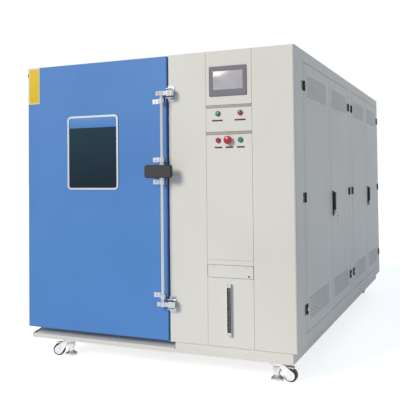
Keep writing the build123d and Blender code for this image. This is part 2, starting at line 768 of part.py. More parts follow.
# Service doors: slotted trays with their hinge leaves. Doors 2 and 4 carry a handle plate and a lock,
# and door 2's lock holds a key with a spare key hanging from its ring.
handle_plate_x = (right_side + leaf_gap, right_side + 8)
spigot_x = (handle_plate_x[1], handle_plate_x[1] + 4)
spigot_radius = 8
lock_x = (handle_plate_x[1] + leaf_gap, right_side + 21)
key_thickness = 2.4
key_bow_x = right_side + 28
ring_x = right_side + 29
ring_radius = 9
ring_top = lock_z - 2
for number, (free_edge, hinge_edge, axis_y) in enumerate(service_doors, 1):
    door_range = sorted((free_edge, hinge_edge))
    inward = 1 if free_edge > hinge_edge else -1
    near = axis_y + inward * clear_knuckle
    far = axis_y + inward * side_leaf
    with BuildPart() as service_door:
        bar((right_side - service_thickness, right_side), door_range, service_z)
        offset(amount=-liner, openings=service_door.faces().sort_by(Axis.X)[0])
        with BuildSketch(side_plane(right_side - liner - 1)):
            for vent_z in vent_heights:
                for row in range(slot_rows):
                    slot_z = vent_z + (row - (slot_rows - 1) / 2) * slot_pitch[1]
                    with Locations((middle(door_range), slot_z)):
                        with GridLocations(slot_pitch[0], 0, slot_columns - row % 2, 1):
                            Rectangle(*slot_size)
        extrude(amount=liner + 2, mode=Mode.SUBTRACT)
        for z in side_hinge_heights:
            bar(leaf_x, sorted((near, far)), about(z, side_hinge_half))
            bar(leaf_x, sorted((axis_y, near)), about(z, knuckle_third))
            disc_z(side_hinge_x + leaf_gap, axis_y, side_knuckle_radius, about(z, knuckle_third))
            disc_z(
                side_hinge_x + leaf_gap,
                axis_y,
                side_pin_radius + run_gap,
                about(z, side_hinge_half),
                Mode.SUBTRACT,
            )
        if number in (2, 4):
            handle_y = free_edge + swing_offset
            with BuildSketch(side_plane(handle_plate_x[0])):
                with Locations((handle_y, swing_z)):
                    RectangleRounded(32, 168, 8)
            extrude(amount=length(handle_plate_x))
            disc_x(handle_y, swing_hub_z, spigot_radius, spigot_x)
            disc_x(handle_y, lock_z, 9.5, lock_x)
        if number == 2:
            with BuildSketch(front_plane(handle_y + key_thickness / 2)):
                with Locations((key_bow_x, lock_z)):
                    Circle(6)
                outline((lock_x[1] + leaf_gap, key_bow_x), about(lock_z, 2))
                with Locations((ring_x, ring_top)):
                    Circle(1.8, mode=Mode.SUBTRACT)
            extrude(amount=key_thickness)
            with BuildSketch(side_plane(ring_x - 0.8)):
                with Locations((handle_y, ring_top - ring_radius)):
                    Circle(ring_radius + 0.8)
                    Circle(ring_radius - 0.8, mode=Mode.SUBTRACT)
            extrude(amount=1.6)
            with BuildSketch(front_plane(handle_y + key_thickness / 2)):
                with Locations((ring_x, ring_top - 2 * ring_radius - 3)):
                    Circle(5)
                outline(about(ring_x, 2), (lock_z - 66, lock_z - 26))
                with Locations((ring_x, ring_top - 2 * ring_radius)):
                    Circle(1.8, mode=Mode.SUBTRACT)
            extrude(amount=key_thickness)
    service_door.part.label = f"service_door_{number}"
    export_step(service_door.part, f"parts/service_door_{number}.step")

# Swing levers that hang from the spigots of the handle plates
lever_x = (spigot_x[0] + 0.4, spigot_x[0] + 13)
for number in (2, 4):
    handle_y = service_doors[number - 1][0] + swing_offset
    with BuildPart() as swing_lever:
        with BuildSketch(side_plane(lever_x[0])):
            with Locations((handle_y, swing_hub_z)):
                Circle(14)
            with Locations((handle_y, swing_hub_z - 98)):
                Circle(10)
            make_hull()
        extrude(amount=length(lever_x))
        chamfer(swing_lever.faces().sort_by(Axis.X)[-1].edges(), 3)
        socket_x = (lever_x[0] - 1, spigot_x[1] + 0.4)
        disc_x(handle_y, swing_hub_z, spigot_radius + run_gap, socket_x, Mode.SUBTRACT)
    swing_lever.part.label = f"swing_lever_{number}"
    export_step(swing_lever.part, f"parts/swing_lever_{number}.step")

# Blue door: a deep tray with its window opening
with BuildPart() as door_shell:
    bar(door_x, door_y, door_z)
    fillet(door_shell.faces().sort_by(Axis.Y)[0].edges(), 4)
    offset(amount=-sheet, openings=door_shell.faces().sort_by(Axis.Y)[-1])
    with BuildSketch(front_plane(front + sheet + 1)):
        outline(sight_x, sight_z, sight_radius)
    extrude(amount=sheet + 2, mode=Mode.SUBTRACT)
door_shell.part.label = "door_shell"
export_step(door_shell.part, "parts/door_shell.step")

# Inner side of the door: foam core, and a stainless pan with a plug that enters the chamber mouth
core_inset = sheet + 0.1
pan_y = (front + 91, door_y[1])
plug_x = grow(cavity_x, -plug_inset)
plug_z = grow(cavity_z, -plug_inset)
core_depth = pan_y[0] - weld_gap
plug_inside = -liner - weld_gap
with BuildPart() as door_core:
    bar(grow(door_x, -core_inset), (front + core_inset, core_depth), grow(door_z, -core_inset))
    chamfer(door_core.faces().sort_by(Axis.Y)[0].edges(), 2)
    bar(grow(plug_x, plug_inside), (core_depth, plug_back + plug_inside), grow(plug_z, plug_inside))
with BuildPart() as door_liner:
    bar(grow(door_x, -core_inset), pan_y, grow(door_z, -core_inset))
    bar(plug_x, (pan_y[0], plug_back), plug_z)
    bar(grow(plug_x, -liner), (pan_y[0] - 1, plug_back - liner), grow(plug_z, -liner), Mode.SUBTRACT)
    add(door_core.part)
    with BuildSketch(front_plane(plug_back + 1)):
        outline(sight_x, sight_z, sight_radius)
    extrude(amount=plug_back - front, mode=Mode.SUBTRACT)
door_liner.part.label = "door_liner"
export_step(door_liner.part, "parts/door_liner.step")

# Hollow rubber gasket round the plug
gasket_x = from_left(70, 960)
gasket_z = from_base(72, 1608)
gasket_width = 28
gasket_height = 9.7
with BuildPart() as door_gasket:
    with BuildSketch(front_plane(door_y[1] + gasket_height)):
        outline(gasket_x, gasket_z, 40)
        outline(grow(gasket_x, -gasket_width), grow(gasket_z, -gasket_width), 12, Mode.SUBTRACT)
    extrude(amount=gasket_height)
    chamfer(door_gasket.faces().sort_by(Axis.Y)[-1].edges(), 3)
door_gasket.part.label = "door_gasket"
export_step(door_gasket.part, "parts/door_gasket.step")

# Window trim and its two panes
trim_reach = 6
with BuildPart() as window_frame:
    with BuildSketch(front_plane(front)):
        outline(window_x, window_z, window_radius)
        outline(grow(window_x, -window_band), grow(window_z, -window_band), 15, Mode.SUBTRACT)
    extrude(amount=trim_reach)
    chamfer(window_frame.faces().sort_by(Axis.Y)[0].edges(), 1.5)
window_frame.part.label = "window_frame"
export_step(window_frame.part, "parts/window_frame.step")

pane_gap = 0.3
with BuildPart() as window_glass:
    with BuildSketch(front_plane(front)):
        outline(grow(window_x, -window_band - pane_gap), grow(window_z, -window_band - pane_gap), 15 - pane_gap)
    extrude(amount=4)
    with BuildSketch(front_plane(plug_back - 3)):
        outline(grow(sight_x, -pane_gap), grow(sight_z, -pane_gap), sight_radius - pane_gap)
    extrude(amount=6)
window_glass.part.label = "window_glass"
export_step(window_glass.part, "parts/window_glass.step")

# Door hinges: the door's arm has the upper knuckle, the body's plate has the lower one and the pin
hinge_pin_radius = 4
arm_x = (door_left - 5, door_left)
body_leaf_x = (body_left - 6, body_left)
lug_y = (hinge_y - 6, hinge_y + 6)
with BuildPart() as door_hinge_arms:
    for z in hinge_heights:
        bar(arm_x, (front + 30, door_y[1]), about(z, hinge_half))
        bar(arm_x, (door_y[1], hinge_y), (z + 0.5, z + hinge_half))
        disc_z(hinge_x, hinge_y, knuckle_radius, (z + 0.5, z + hinge_half))
        disc_z(hinge_x, hinge_y, hinge_pin_radius + run_gap, (z, z + hinge_half), Mode.SUBTRACT)
door_hinge_arms.part.label = "door_hinge_arms"
export_step(door_hinge_arms.part, "parts/door_hinge_arms.step")

with BuildPart() as door_hinge_plates:
    for z in hinge_heights:
        bar(body_leaf_x, (lug_y[0], front + 172), about(z, hinge_half))
        bar((hinge_x, body_leaf_x[1]), lug_y, (z - hinge_half, z))
        disc_z(hinge_x, hinge_y, knuckle_radius, (z - hinge_half, z))
        disc_z(hinge_x, hinge_y, hinge_pin_radius, about(z, hinge_half))
door_hinge_plates.part.label = "door_hinge_plates"
export_step(door_hinge_plates.part, "parts/door_hinge_plates.step")

# Rubber buffer on the door's hinge edge, a dome that meets the body when the door is wide open
buffer_spot = (front + 46, base_z + 1637)
buffer_radius = 26.5
with BuildPart() as door_buffer:
    with BuildSketch(front_plane(buffer_spot[0])):
        with BuildLine():
            Polyline(
                (door_left, buffer_spot[1]),
                (door_left, buffer_spot[1] + buffer_radius),
                (door_left - 10, buffer_spot[1] + buffer_radius),
                (door_left - 22, buffer_spot[1] + 22),
                (door_left - 31, buffer_spot[1] + 13),
                (door_left - buffer_reach, buffer_spot[1] + 4),
                (door_left - buffer_reach, buffer_spot[1]),
                close=True,
            )
        make_face()
    revolve(axis=Axis((door_left, buffer_spot[0], buffer_spot[1]), (1, 0, 0)))
door_buffer.part.label = "door_buffer"
export_step(door_buffer.part, "parts/door_buffer.step")

# Four brackets that carry the lock rod: a long foot on the door and a ring round the rod
bracket_half = 14
ring_outer = 17
foot_thickness = 4
with BuildPart() as rod_brackets:
    for z in bracket_heights:
        with BuildSketch(Plane.XY.offset(z - bracket_half)):
            outline((rod_x - 76, rod_x + 14), (front - foot_thickness, front))
            outline(about(rod_x, 12), (rod_y, front))
            with Locations((rod_x, rod_y)):
                Circle(ring_outer)
                Circle(rod_radius + run_gap, mode=Mode.SUBTRACT)
        extrude(amount=2 * bracket_half)
    for spot_x in (rod_x - 64, rod_x - 34):
        for z in bracket_heights:
            disc_y(spot_x, z, 6, (front - foot_thickness - 3.5, front - foot_thickness))
rod_brackets.part.label = "rod_brackets"
export_step(rod_brackets.part, "parts/rod_brackets.step")

# Lock rod with an arm and claw at each end and the hub of the grip welded to it
claw_x = (door_left + 1030, door_left + 1070)
claw_half = 17
arm_half = 13
hub_half = 46
hub_radius = 15
with BuildPart() as lock_rod:
    disc_z(rod_x, rod_y, rod_radius, rod_z)
    for z in arm_heights:
        disc_z(rod_x, rod_y, ring_outer, about(z, arm_half))
        with BuildSketch(Plane.XY.offset(z - arm_half)):
            with Locations((rod_x - 32, rod_y)):
                Circle(7)
            with Locations((rod_x, rod_y)):
                Circle(12)
            make_hull()
        extrude(amount=2 * arm_half)
        bar((rod_x, claw_x[0]), about(rod_y, 7), about(z, arm_half))
        with BuildSketch(Plane.XY.offset(z - claw_half)):
            with BuildLine():
                Polyline(
                    (claw_x[0], rod_y - 7),
                    (claw_x[1] - 8, rod_y - 7),
                    (claw_x[1], rod_y + 2),
                    (claw_x[1], front - 16),
                    (claw_x[1] - 12, front - 8),
                    (claw_x[1] - 26, front - 8),
                    (claw_x[0], front - 22),
                    close=True,
                )
            make_face()
        extrude(amount=2 * claw_half)
    disc_z(rod_x, rod_y, hub_radius, about(grip_z, hub_half))
    bar(about(rod_x, 18), (front - 54, rod_y), about(grip_z, 34))
lock_rod.part.label = "lock_rod"
export_step(lock_rod.part, "parts/lock_rod.step")

# Grip: a thick rounded plate across the rod
grip_x = from_left(893, 1070)
with BuildPart() as handle_grip:
    with BuildSketch(front_plane(front - 54)):
        outline(grip_x, about(grip_z, 38), 16)
    extrude(amount=grip_reach - 54)
    chamfer(handle_grip.faces().sort_by(Axis.Y)[0].edges(), 5)
handle_grip.part.label = "handle_grip"
export_step(handle_grip.part, "parts/handle_grip.step")

# Keepers on the cabinet: a foot plate and a welded channel with flared lips that guides the claw
keeper_x = from_left(1020, 1062)
keeper_sheet = 3
with BuildPart() as keepers:
    for z in arm_heights:
        bar(keeper_x, (front - keeper_sheet, front), about(z, 46))
        for side in (-1, 1):
            inner = z + side * 19
            outer = z + side * 22
            with BuildSketch(side_plane(keeper_x[0])):
                with BuildLine():
                    Polyline(
                        (front - keeper_sheet, inner),
                        (front - 26, inner),
                        (front - 34, z + side * 27),
                        (front - 34, z + side * 30.5),
                        (front - 25, outer),
                        (front - keeper_sheet, outer),
                        close=True,
                    )
                make_face()
            extrude(amount=length(keeper_x))
keepers.part.label = "keepers"
export_step(keepers.part, "parts/keepers.step")

# Electrical panel on the chamber's right wall: mounting plate, rails, breakers, contactors and a drive.
# Breakers and contactors have the stepped front of rail-mounted devices.
panel_x = from_left(1010, 1013)
device_x = panel_x[1] + 7.2
panel_y = from_front(240, 840)
panel_z = from_base(700, 1550)
# Rows of devices: height of the rail, devices in the row, pitch, device width and height
device_rows = (
    (base_z + 1440, 10, 46, 44, 84),
    (base_z + 1240, 6, 78, 68, 92),
    (base_z + 1040, 4, 130, 110, 100),
)
with BuildPart() as electrical_panel:
    bar(panel_x, panel_y, panel_z)
    for y in (panel_y[0] + 20, panel_y[1] - 20):
        for z in (panel_z[0] + 20, panel_z[1] - 20):
            disc_x(y, z, 8, (partition_x, panel_x[0]))
    for z, count, pitch, width, height in device_rows:
        bar((panel_x[1], panel_x[1] + 7), grow(panel_y, -30), about(z, 17))
        for number in range(count):
            device_y = middle(panel_y) + (number - (count - 1) / 2) * pitch
            with BuildSketch(front_plane(device_y + width / 2)):
                with BuildLine():
                    Polyline(
                        (device_x, z - height / 2),
                        (device_x + 44, z - height / 2),
                        (device_x + 44, z - height / 4),
                        (device_x + 66, z - height / 4),
                        (device_x + 66, z + height / 4),
                        (device_x + 44, z + height / 4),
                        (device_x + 44, z + height / 2),
                        (device_x, z + height / 2),
                        close=True,
                    )
                make_face()
            extrude(amount=width)
    with BuildSketch(side_plane(panel_x[1] + 0.2)):
        with Locations((middle(panel_y) - 110, panel_z[0] + 130)):
            Rectangle(220, 210)
    extrude(amount=120, taper=3)
electrical_panel.part.label = "electrical_panel"
export_step(electrical_panel.part, "parts/electrical_panel.step")

# Two compressors on rubber feet, each a welded can with a coned lid, a suction and a discharge pipe
block_front = front + 1707.8  # front side of the condenser's header
compressor_x = door_left + 1240
compressor_rows = (front + 1040, front + 1380)
can_radius = 88
can_z = from_base(24, 404)
pipe_radius = 8
discharge_x = compressor_x + 180
with BuildPart() as compressors:
    for number, y in enumerate(compressor_rows):
        with BuildSketch(front_plane(y)):
            with BuildLine():
                Polyline(
                    (compressor_x, can_z[0]),
                    (compressor_x + 60, can_z[0]),
                    (compressor_x + can_radius, can_z[0] + 40),
                    (compressor_x + can_radius, can_z[1] - 40),
                    (compressor_x + 62, can_z[1]),
                    (compressor_x, can_z[1]),
                    close=True,
                )
            make_face()
        revolve(axis=Axis((compressor_x, y, 0), (0, 0, 1)))
        with BuildSketch(Plane.XY.offset(base_z + 18)):
            with Locations((compressor_x, y)):
                Rectangle(220, 220)
        extrude(amount=8)
        with BuildSketch(Plane.XY.offset(base_z)):
            with Locations((compressor_x, y)):
                with GridLocations(170, 170, 2, 2):
                    Rectangle(32, 32)
        extrude(amount=18)
        suction_z = can_z[1] + 110
        discharge_z = can_z[1] + 50 + number * 60
        pipe_z = discharge_z - pipe_radius - 1
        disc_z(compressor_x - 40, y, pipe_radius + 3, (can_z[1] - 10, suction_z))
        disc_x(y, suction_z - pipe_radius - 3, pipe_radius + 2, (partition_x + 6, compressor_x - 40))
        disc_z(compressor_x + 40, y, pipe_radius, (can_z[1] - 10, discharge_z))
        disc_x(y, pipe_z, pipe_radius - 1, (compressor_x + 40, discharge_x))
        disc_y(discharge_x, pipe_z, pipe_radius, (y - pipe_radius, block_front))
compressors.part.label = "compressors"
export_step(compressors.part, "parts/compressors.step")

# Condenser: finned block on feet with two headers, a shroud with a round throat, and the fan's motor
block_x = from_left(1395, 1445)
block_y = from_front(1732, 2360)
block_z = from_base(70, 720)
header_radius = 12
shroud_x = (block_x[1] + 0.2, door_left + 1500)
throat_radius = 156
throat_x = (shroud_x[1], shroud_x[1] + 30)
fan_motor_x = from_left(1540, 1600)
fan_motor_radius = 45
fan_shaft_radius = 8
fin_pitch = 26
fin_count = 24
stay_width = 16
with BuildPart() as fan_shroud:
    bar(shroud_x, block_y, block_z)
    offset(amount=-liner, openings=fan_shroud.faces().sort_by(Axis.X)[0])
    disc_x(condenser_y, condenser_z, throat_radius + 3, throat_x)
    disc_x(condenser_y, condenser_z, throat_radius, (shroud_x[1] - 5, throat_x[1]), Mode.SUBTRACT)
    with BuildSketch(side_plane(throat_x[1])):
        with Locations((condenser_y, condenser_z)):
            with PolarLocations(throat_radius + 1.5, 4, 45):
                Rectangle(6, stay_width)
    extrude(amount=40)
    with BuildSketch(side_plane(throat_x[1] + 32)):
        with Locations((condenser_y, condenser_z)):
            with PolarLocations((throat_radius + fan_motor_radius + 3) / 2, 4, 45):
                Rectangle(throat_radius - fan_motor_radius, stay_width)
    extrude(amount=8)
with BuildPart() as shroud_motor:
    disc_x(condenser_y, condenser_z, fan_motor_radius, fan_motor_x)
    chamfer(shroud_motor.edges().filter_by(GeomType.CIRCLE), 4)
    bore_x = (fan_motor_x[0], fan_motor_x[0] + 45)
    disc_x(condenser_y, condenser_z, fan_shaft_radius + run_gap, bore_x, Mode.SUBTRACT)
with BuildPart() as condenser:
    bar((block_x[0] + 6, block_x[1]), block_y, block_z)
    with Locations((block_x[0] + 6, middle(block_y), middle(block_z))):
        with GridLocations(0, fin_pitch, 1, fin_count):
            Box(12, 4, length(block_z))
    for y in (block_y[0] - header_radius, block_y[1] + header_radius):
        disc_z(middle(block_x), y, header_radius, grow(block_z, -20))
    for y in (block_y[0] + 40, block_y[1] - 80):
        bar((block_x[0] - 20, shroud_x[1]), (y, y + 40), (base_z, block_z[0]))
    add(fan_shroud.part)
    add(shroud_motor.part)
condenser.part.label = "condenser"
export_step(condenser.part, "parts/condenser.step")


def blade_plane(angle, radius, pitch):
    """Plane across a fan blade at a radius: its x runs along the blade's chord at the pitch angle."""
    outward = (0, cos(radians(angle)), sin(radians(angle)))
    rise = sin(radians(pitch))
    along = (cos(radians(pitch)), -outward[2] * rise, outward[1] * rise)
    place = (fan_x, condenser_y + radius * outward[1], condenser_z + radius * outward[2])
    return Plane(origin=place, x_dir=along, z_dir=outward)


# Condenser fan: hub, shaft and five pitched blades
fan_x = door_left + 1516
fan_blades = 5
hub_radius_fan = 36
with BuildPart() as condenser_fan:
    disc_x(condenser_y, condenser_z, hub_radius_fan, (fan_x - 12, fan_x + 14))
    for blade_number in range(fan_blades):
        angle = blade_number * 360 / fan_blades
        with BuildSketch(blade_plane(angle, hub_radius_fan - 4, 55)):
            Rectangle(26, 3)
        with BuildSketch(blade_plane(angle, throat_radius - 10, 72)):
            Rectangle(52, 2)
        loft()
    disc_x(condenser_y, condenser_z, fan_shaft_radius, (fan_x, fan_motor_x[0] + 40))
condenser_fan.part.label = "condenser_fan"
export_step(condenser_fan.part, "parts/condenser_fan.step")

# Castor's fixed plate with its bolt holes and the spigot that the swivel head turns on
plate_half = 48
plate_z = (caster_height - 6, caster_height)
spigot_z = (106, plate_z[0])
swivel_spigot = 14
bolt_pitch = 75
with BuildPart() as caster_plates:
    for name, x, y, trail in casters:
        with BuildSketch(Plane.XY.offset(plate_z[0])):
            with Locations((x, y)):
                Rectangle(2 * plate_half, 2 * plate_half)
                with GridLocations(bolt_pitch, bolt_pitch, 2, 2):
                    Circle(4.5, mode=Mode.SUBTRACT)
        extrude(amount=length(plate_z))
        disc_z(x, y, swivel_spigot, spigot_z)
caster_plates.part.label = "caster_plates"
export_step(caster_plates.part, "parts/caster_plates.step")

# Castor's cast swivel housing, drawn with the swivel axis on Z and the wheel trailing towards +X:
# round head, two cheeks, an arched hood over the wheel, and the axle
head_radius = 42
head_z = (88, 113.5)
cheek_thickness = 6
cheek_gap = 19
axle_radius = 6
spindle_radius = 8
hood_radius = 43.5
with BuildPart() as swivel_housing:
    disc_z(0, 0, head_radius, head_z)
    chamfer(swivel_housing.edges().filter_by(GeomType.CIRCLE).sort_by(Axis.Z)[-1], 3)
    for y in (-cheek_gap, cheek_gap + cheek_thickness):
        with BuildSketch(front_plane(y)):
            with Locations((wheel_trail, wheel_radius)):
                Circle(27)
            outline((18, 44), (head_z[0] - 2, head_z[0] + 6))
            make_hull()
        extrude(amount=cheek_thickness)
    with BuildSketch(front_plane(cheek_gap + 1)):
        with BuildLine():
            CenterArc((wheel_trail, wheel_radius), hood_radius, 62, 78)
        trace(line_width=5)
    extrude(amount=2 * cheek_gap + 2)
    disc_y(wheel_trail, wheel_radius, axle_radius, about(0, cheek_gap + 1))
    for side in (-1, 1):
        disc_y(wheel_trail, wheel_radius, 10, sorted((side * 24, side * 29)))
    disc_z(0, 0, swivel_spigot + run_gap, (spigot_z[0] - 0.2, head_z[1]), Mode.SUBTRACT)
    disc_z(0, 0, spindle_radius + run_gap, head_z, Mode.SUBTRACT)

# Nylon wheel: a revolved profile with a rim, a thinner web and a hub that runs between the cheeks
with BuildPart() as castor_wheel:
    with BuildSketch(Plane.XY.offset(wheel_radius)):
        with BuildLine():
            half_profile = Polyline(
                (wheel_trail + axle_radius + run_gap, 0),
                (wheel_trail + axle_radius + run_gap, cheek_gap - 0.5),
                (wheel_trail + 15, cheek_gap - 0.5),
                (wheel_trail + 18, wheel_half_width - 5),
                (wheel_trail + 26, wheel_half_width - 5),
                (wheel_trail + 28, wheel_half_width),
                (wheel_trail + wheel_radius - 3, wheel_half_width),
                (wheel_trail + wheel_radius, wheel_half_width - 4),
                (wheel_trail + wheel_radius, 0),
            )
            mirror(half_profile, about=Plane.XZ)
        make_face()
    revolve(axis=Axis((wheel_trail, 0, wheel_radius), (0, 1, 0)))

# Levelling foot on the swivel axis: rubber pad, cup, spindle and knurled hand wheel
foot_bottom = 2
with BuildPart() as levelling_foot:
    disc_z(0, 0, 38, (foot_bottom, foot_bottom + 6))
    with BuildSketch(Plane.XZ):
        with BuildLine():
            Polyline((0, 8.1), (36, 8.1), (36, 14), (15, 30), (15, 54), (0, 54), close=True)
        make_face()
    revolve(axis=Axis.Z)
    with BuildSketch(Plane.XY.offset(54)):
        Circle(25)
        with PolarLocations(26, 8):
            Circle(4, mode=Mode.SUBTRACT)
    extrude(amount=24)
    disc_z(0, 0, spindle_radius, (54, 96))

for name, x, y, trail in casters:
    place = Location((x, y, 0), (0, 0, trail))
    pieces = [("caster_swivel", swivel_housing), ("caster_wheel", castor_wheel)]
    if name.startswith("front"):
        pieces.append(("levelling_foot", levelling_foot))
    for piece_name, piece in pieces:
        placed = piece.part.moved(place)
        placed.label = f"{piece_name}_{name}"
        export_step(placed, f"parts/{piece_name}_{name}.step")
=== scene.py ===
import bmesh
import bpy
import numpy as np
from mathutils import Matrix, Vector


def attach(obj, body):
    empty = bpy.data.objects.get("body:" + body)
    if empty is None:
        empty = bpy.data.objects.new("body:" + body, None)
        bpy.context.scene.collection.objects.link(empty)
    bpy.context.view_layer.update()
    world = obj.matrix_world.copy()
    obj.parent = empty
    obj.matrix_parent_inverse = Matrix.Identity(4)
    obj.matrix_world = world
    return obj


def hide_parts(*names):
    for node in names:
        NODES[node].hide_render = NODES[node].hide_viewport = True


bl_info = {
    "name": "Environmental test chamber",
    "version": (1, 0, 0),
    "blender": (4, 5, 0),
    "location": "3D Viewport > Sidebar > Test chamber",
    "description": "Dresses the frame of an environmental test chamber with its skins, trims and finishes",
    "category": "Object",
}

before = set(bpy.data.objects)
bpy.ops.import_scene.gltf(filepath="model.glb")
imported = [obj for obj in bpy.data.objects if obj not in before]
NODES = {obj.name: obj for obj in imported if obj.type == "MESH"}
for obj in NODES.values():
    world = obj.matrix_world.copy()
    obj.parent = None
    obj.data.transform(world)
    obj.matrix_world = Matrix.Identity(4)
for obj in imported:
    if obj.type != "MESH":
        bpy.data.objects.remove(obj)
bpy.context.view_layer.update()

MM = 0.001
BODY_WIDTH, BODY_DEPTH = 1.786, 3.120
# How far the buffer, the key, the grip and the pipe stubs stand out from the body, in metres
BUFFER_REACH, KEY_REACH, GRIP_REACH, STUB_REACH = 0.035, 0.034, 0.072, 0.040
# The blue door's left edge, the body's right side, the front plane and the bottom of the panels, in metres
LEFT = BUFFER_REACH - (BUFFER_REACH + BODY_WIDTH + KEY_REACH) / 2
RIGHT = LEFT + BODY_WIDTH
FRONT = GRIP_REACH - (GRIP_REACH + BODY_DEPTH + STUB_REACH) / 2
BASE = 0.185

# Points on each rounded corner, and round a whole outline
CORNER_POINTS = 6
OUTLINE_POINTS = 4 * CORNER_POINTS
# Edges that turn by more than this stay crisp
CREASE = np.radians(32.0)


def at(x, y, z):
    """Point given in millimetres from the door's left edge, the front plane and the panels' bottom."""
    return np.array((LEFT + x * MM, FRONT + y * MM, BASE + z * MM))


# ---------------------------------------------------------------- meshes


def put(name, vertices, faces, body, materials, indices=None):
    """A mesh object at the origin from an array of points and an array or list of faces, riding on a body."""
    mesh = bpy.data.meshes.new(name)
    mesh.from_pydata(np.asarray(vertices, dtype=float).tolist(), [], [list(map(int, f)) for f in faces])
    for material in materials:
        mesh.materials.append(material)
    if indices is not None:
        mesh.polygons.foreach_set("material_index", np.asarray(indices, dtype=np.int32))
    form = bmesh.new()
    form.from_mesh(mesh)
    bmesh.ops.recalc_face_normals(form, faces=form.faces)
    form.to_mesh(mesh)
    form.free()
    mesh.shade_smooth()
    mesh.set_sharp_from_angle(angle=CREASE)
    piece = bpy.data.objects.new(name, mesh)
    bpy.context.scene.collection.objects.link(piece)
    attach(piece, body)
    return piece


def ring_faces(loops, count):
    """Quads between successive closed loops of count points each, as one array."""
    row = np.arange(loops - 1)[:, None] * count
    column = np.arange(count)[None, :]
    after = (column + 1) % count
    quads = np.stack((row + column, row + after, row + count + after, row + count + column), -1)
    return quads.reshape(-1, 4)


def rounded_outline(width, height, radius):
    """Rounded rectangle about the origin: four quarter circles of points, anticlockwise, as one array."""
    radius = max(min(radius, width / 2 - 1e-6, height / 2 - 1e-6), 1e-6)
    quarter = np.linspace(0, np.pi / 2, CORNER_POINTS)
    angle = (np.arange(4)[:, None] * np.pi / 2 + quarter[None, :]).ravel()
    signs = np.repeat(np.array([(1, 1), (-1, 1), (-1, -1), (1, -1)]), CORNER_POINTS, 0)
    centre = signs * (width / 2 - radius, height / 2 - radius)
    return centre + radius * np.stack((np.cos(angle), np.sin(angle)), -1)


def plate_arrays(width, height, thickness, radius, bevel):
    """Plate with rounded corners and a rounded front edge: the outline is repeated at growing depth while
    its inset falls along a quarter circle, then it closes with a flat fan in front and behind."""
    turn = np.linspace(0, np.pi / 2, 4)
    inset = np.concatenate((bevel * (1 - np.sin(turn)), (0.0,)))
    level = np.concatenate((thickness - bevel * (1 - np.cos(turn)), (0.0,)))
    count = OUTLINE_POINTS
    loops = [
        np.column_stack((rounded_outline(width - 2 * i, height - 2 * i, radius - i), np.full(count, h)))
        for i, h in zip(inset, level)
    ]
    points = np.concatenate(loops)
    faces = ring_faces(len(loops), count)[:, ::-1].tolist()
    faces.append(list(range(count)))
    faces.append(list(range(count * (len(loops) - 1), count * len(loops)))[::-1])
    return points, faces


# A plate's own width, height and thickness, turned to X, Z and out of the front
TO_FRONT = np.array(((1, 0, 0), (0, 0, 1), (0, -1, 0)), float)


def plate(name, centre, size, thickness, radius, bevel, body, material):
    """A plate that stands off the front: centre lies on the surface, and sizes are in millimetres."""
    points, faces = plate_arrays(size[0] * MM, size[1] * MM, thickness * MM, radius * MM, bevel * MM)
    return put(name, centre + points @ TO_FRONT, faces, body, [material])


def revolved(name, centre, axis, profile, body, material, steps=32):
    """Surface of revolution: a profile of (distance along the axis, radius) in millimetres is carried
    round the axis, and both its ends are closed with a flat face."""
    axis = np.asarray(axis, float)
    side = np.cross(axis, (0.0, 0.0, 1.0) if abs(axis[2]) < 0.9 else (1.0, 0.0, 0.0))
    side /= np.linalg.norm(side)
    up = np.cross(axis, side)
    angle = np.arange(steps) * 2 * np.pi / steps
    around = np.cos(angle)[:, None] * side + np.sin(angle)[:, None] * up
    profile = np.asarray(profile, float) * MM
    points = centre + profile[:, 0, None, None] * axis + profile[:, 1, None, None] * around[None]
    faces = ring_faces(len(profile), steps).tolist()
    faces.append(list(range(steps))[::-1])
    faces.append(list(range(steps * (len(profile) - 1), steps * len(profile))))
    return put(name, points.reshape(-1, 3), faces, body, [material])


# ---------------------------------------------------------------- materials


def rgb(code):
    """Linear colour of an sRGB hex value; a colour property is linear already."""
    if not isinstance(code, str):
        return (*code, 1.0)
    value = np.array([int(code[i : i + 2], 16) for i in (1, 3, 5)]) / 255
    linear = np.where(value <= 0.04045, value / 12.92, ((value + 0.055) / 1.055) ** 2.4)
    return (*linear.tolist(), 1.0)


def node(tree, kind, values=None, links=None, **settings):
    """One shader node with its settings, its input values and the sockets that feed its inputs."""
    made = tree.nodes.new(kind)
    for key, value in settings.items():
        setattr(made, key, value)
    for key, value in (values or {}).items():
        made.inputs[key].default_value = value
    for key, socket in (links or {}).items():
        tree.links.new(socket, made.inputs[key])
    return made


def finish_material(name):
    """A new node material, its tree, its Principled shader and the object's own coordinates."""
    material = bpy.data.materials.new(name)
    material.use_nodes = True
    tree = material.node_tree
    shader = tree.nodes["Principled BSDF"]
    place = node(tree, "ShaderNodeTexCoord").outputs["Object"]
    return material, tree, shader, place


def mottled(tree, place, light, dark, scale, low=0.35, high=0.65):
    """Colour that drifts between two tones with soft noise of a given scale, in cells per metre."""
    cloud = node(tree, "ShaderNodeTexNoise", {"Scale": scale, "Detail": 3.0}, {"Vector": place})
    spread = node(
        tree,
        "ShaderNodeMapRange",
        {"From Min": low, "From Max": high},
        {"Value": cloud.outputs["Fac"]},
    )
    return node(
        tree,
        "ShaderNodeMix",
        {6: rgb(dark), 7: rgb(light)},
        {0: spread.outputs["Result"]},
        data_type="RGBA",
    ).outputs[2]


# Cells per metre: the drift of tone over a coated panel, and that over a casting
COAT_DRIFT = 1.7
CAST_DRIFT = 14.0
# Depth of a dent, in metres: orange peel and facets, and the finer grit of moulds and castings
PEEL_DEPTH = 0.0004
GRIT_DEPTH = 0.0003


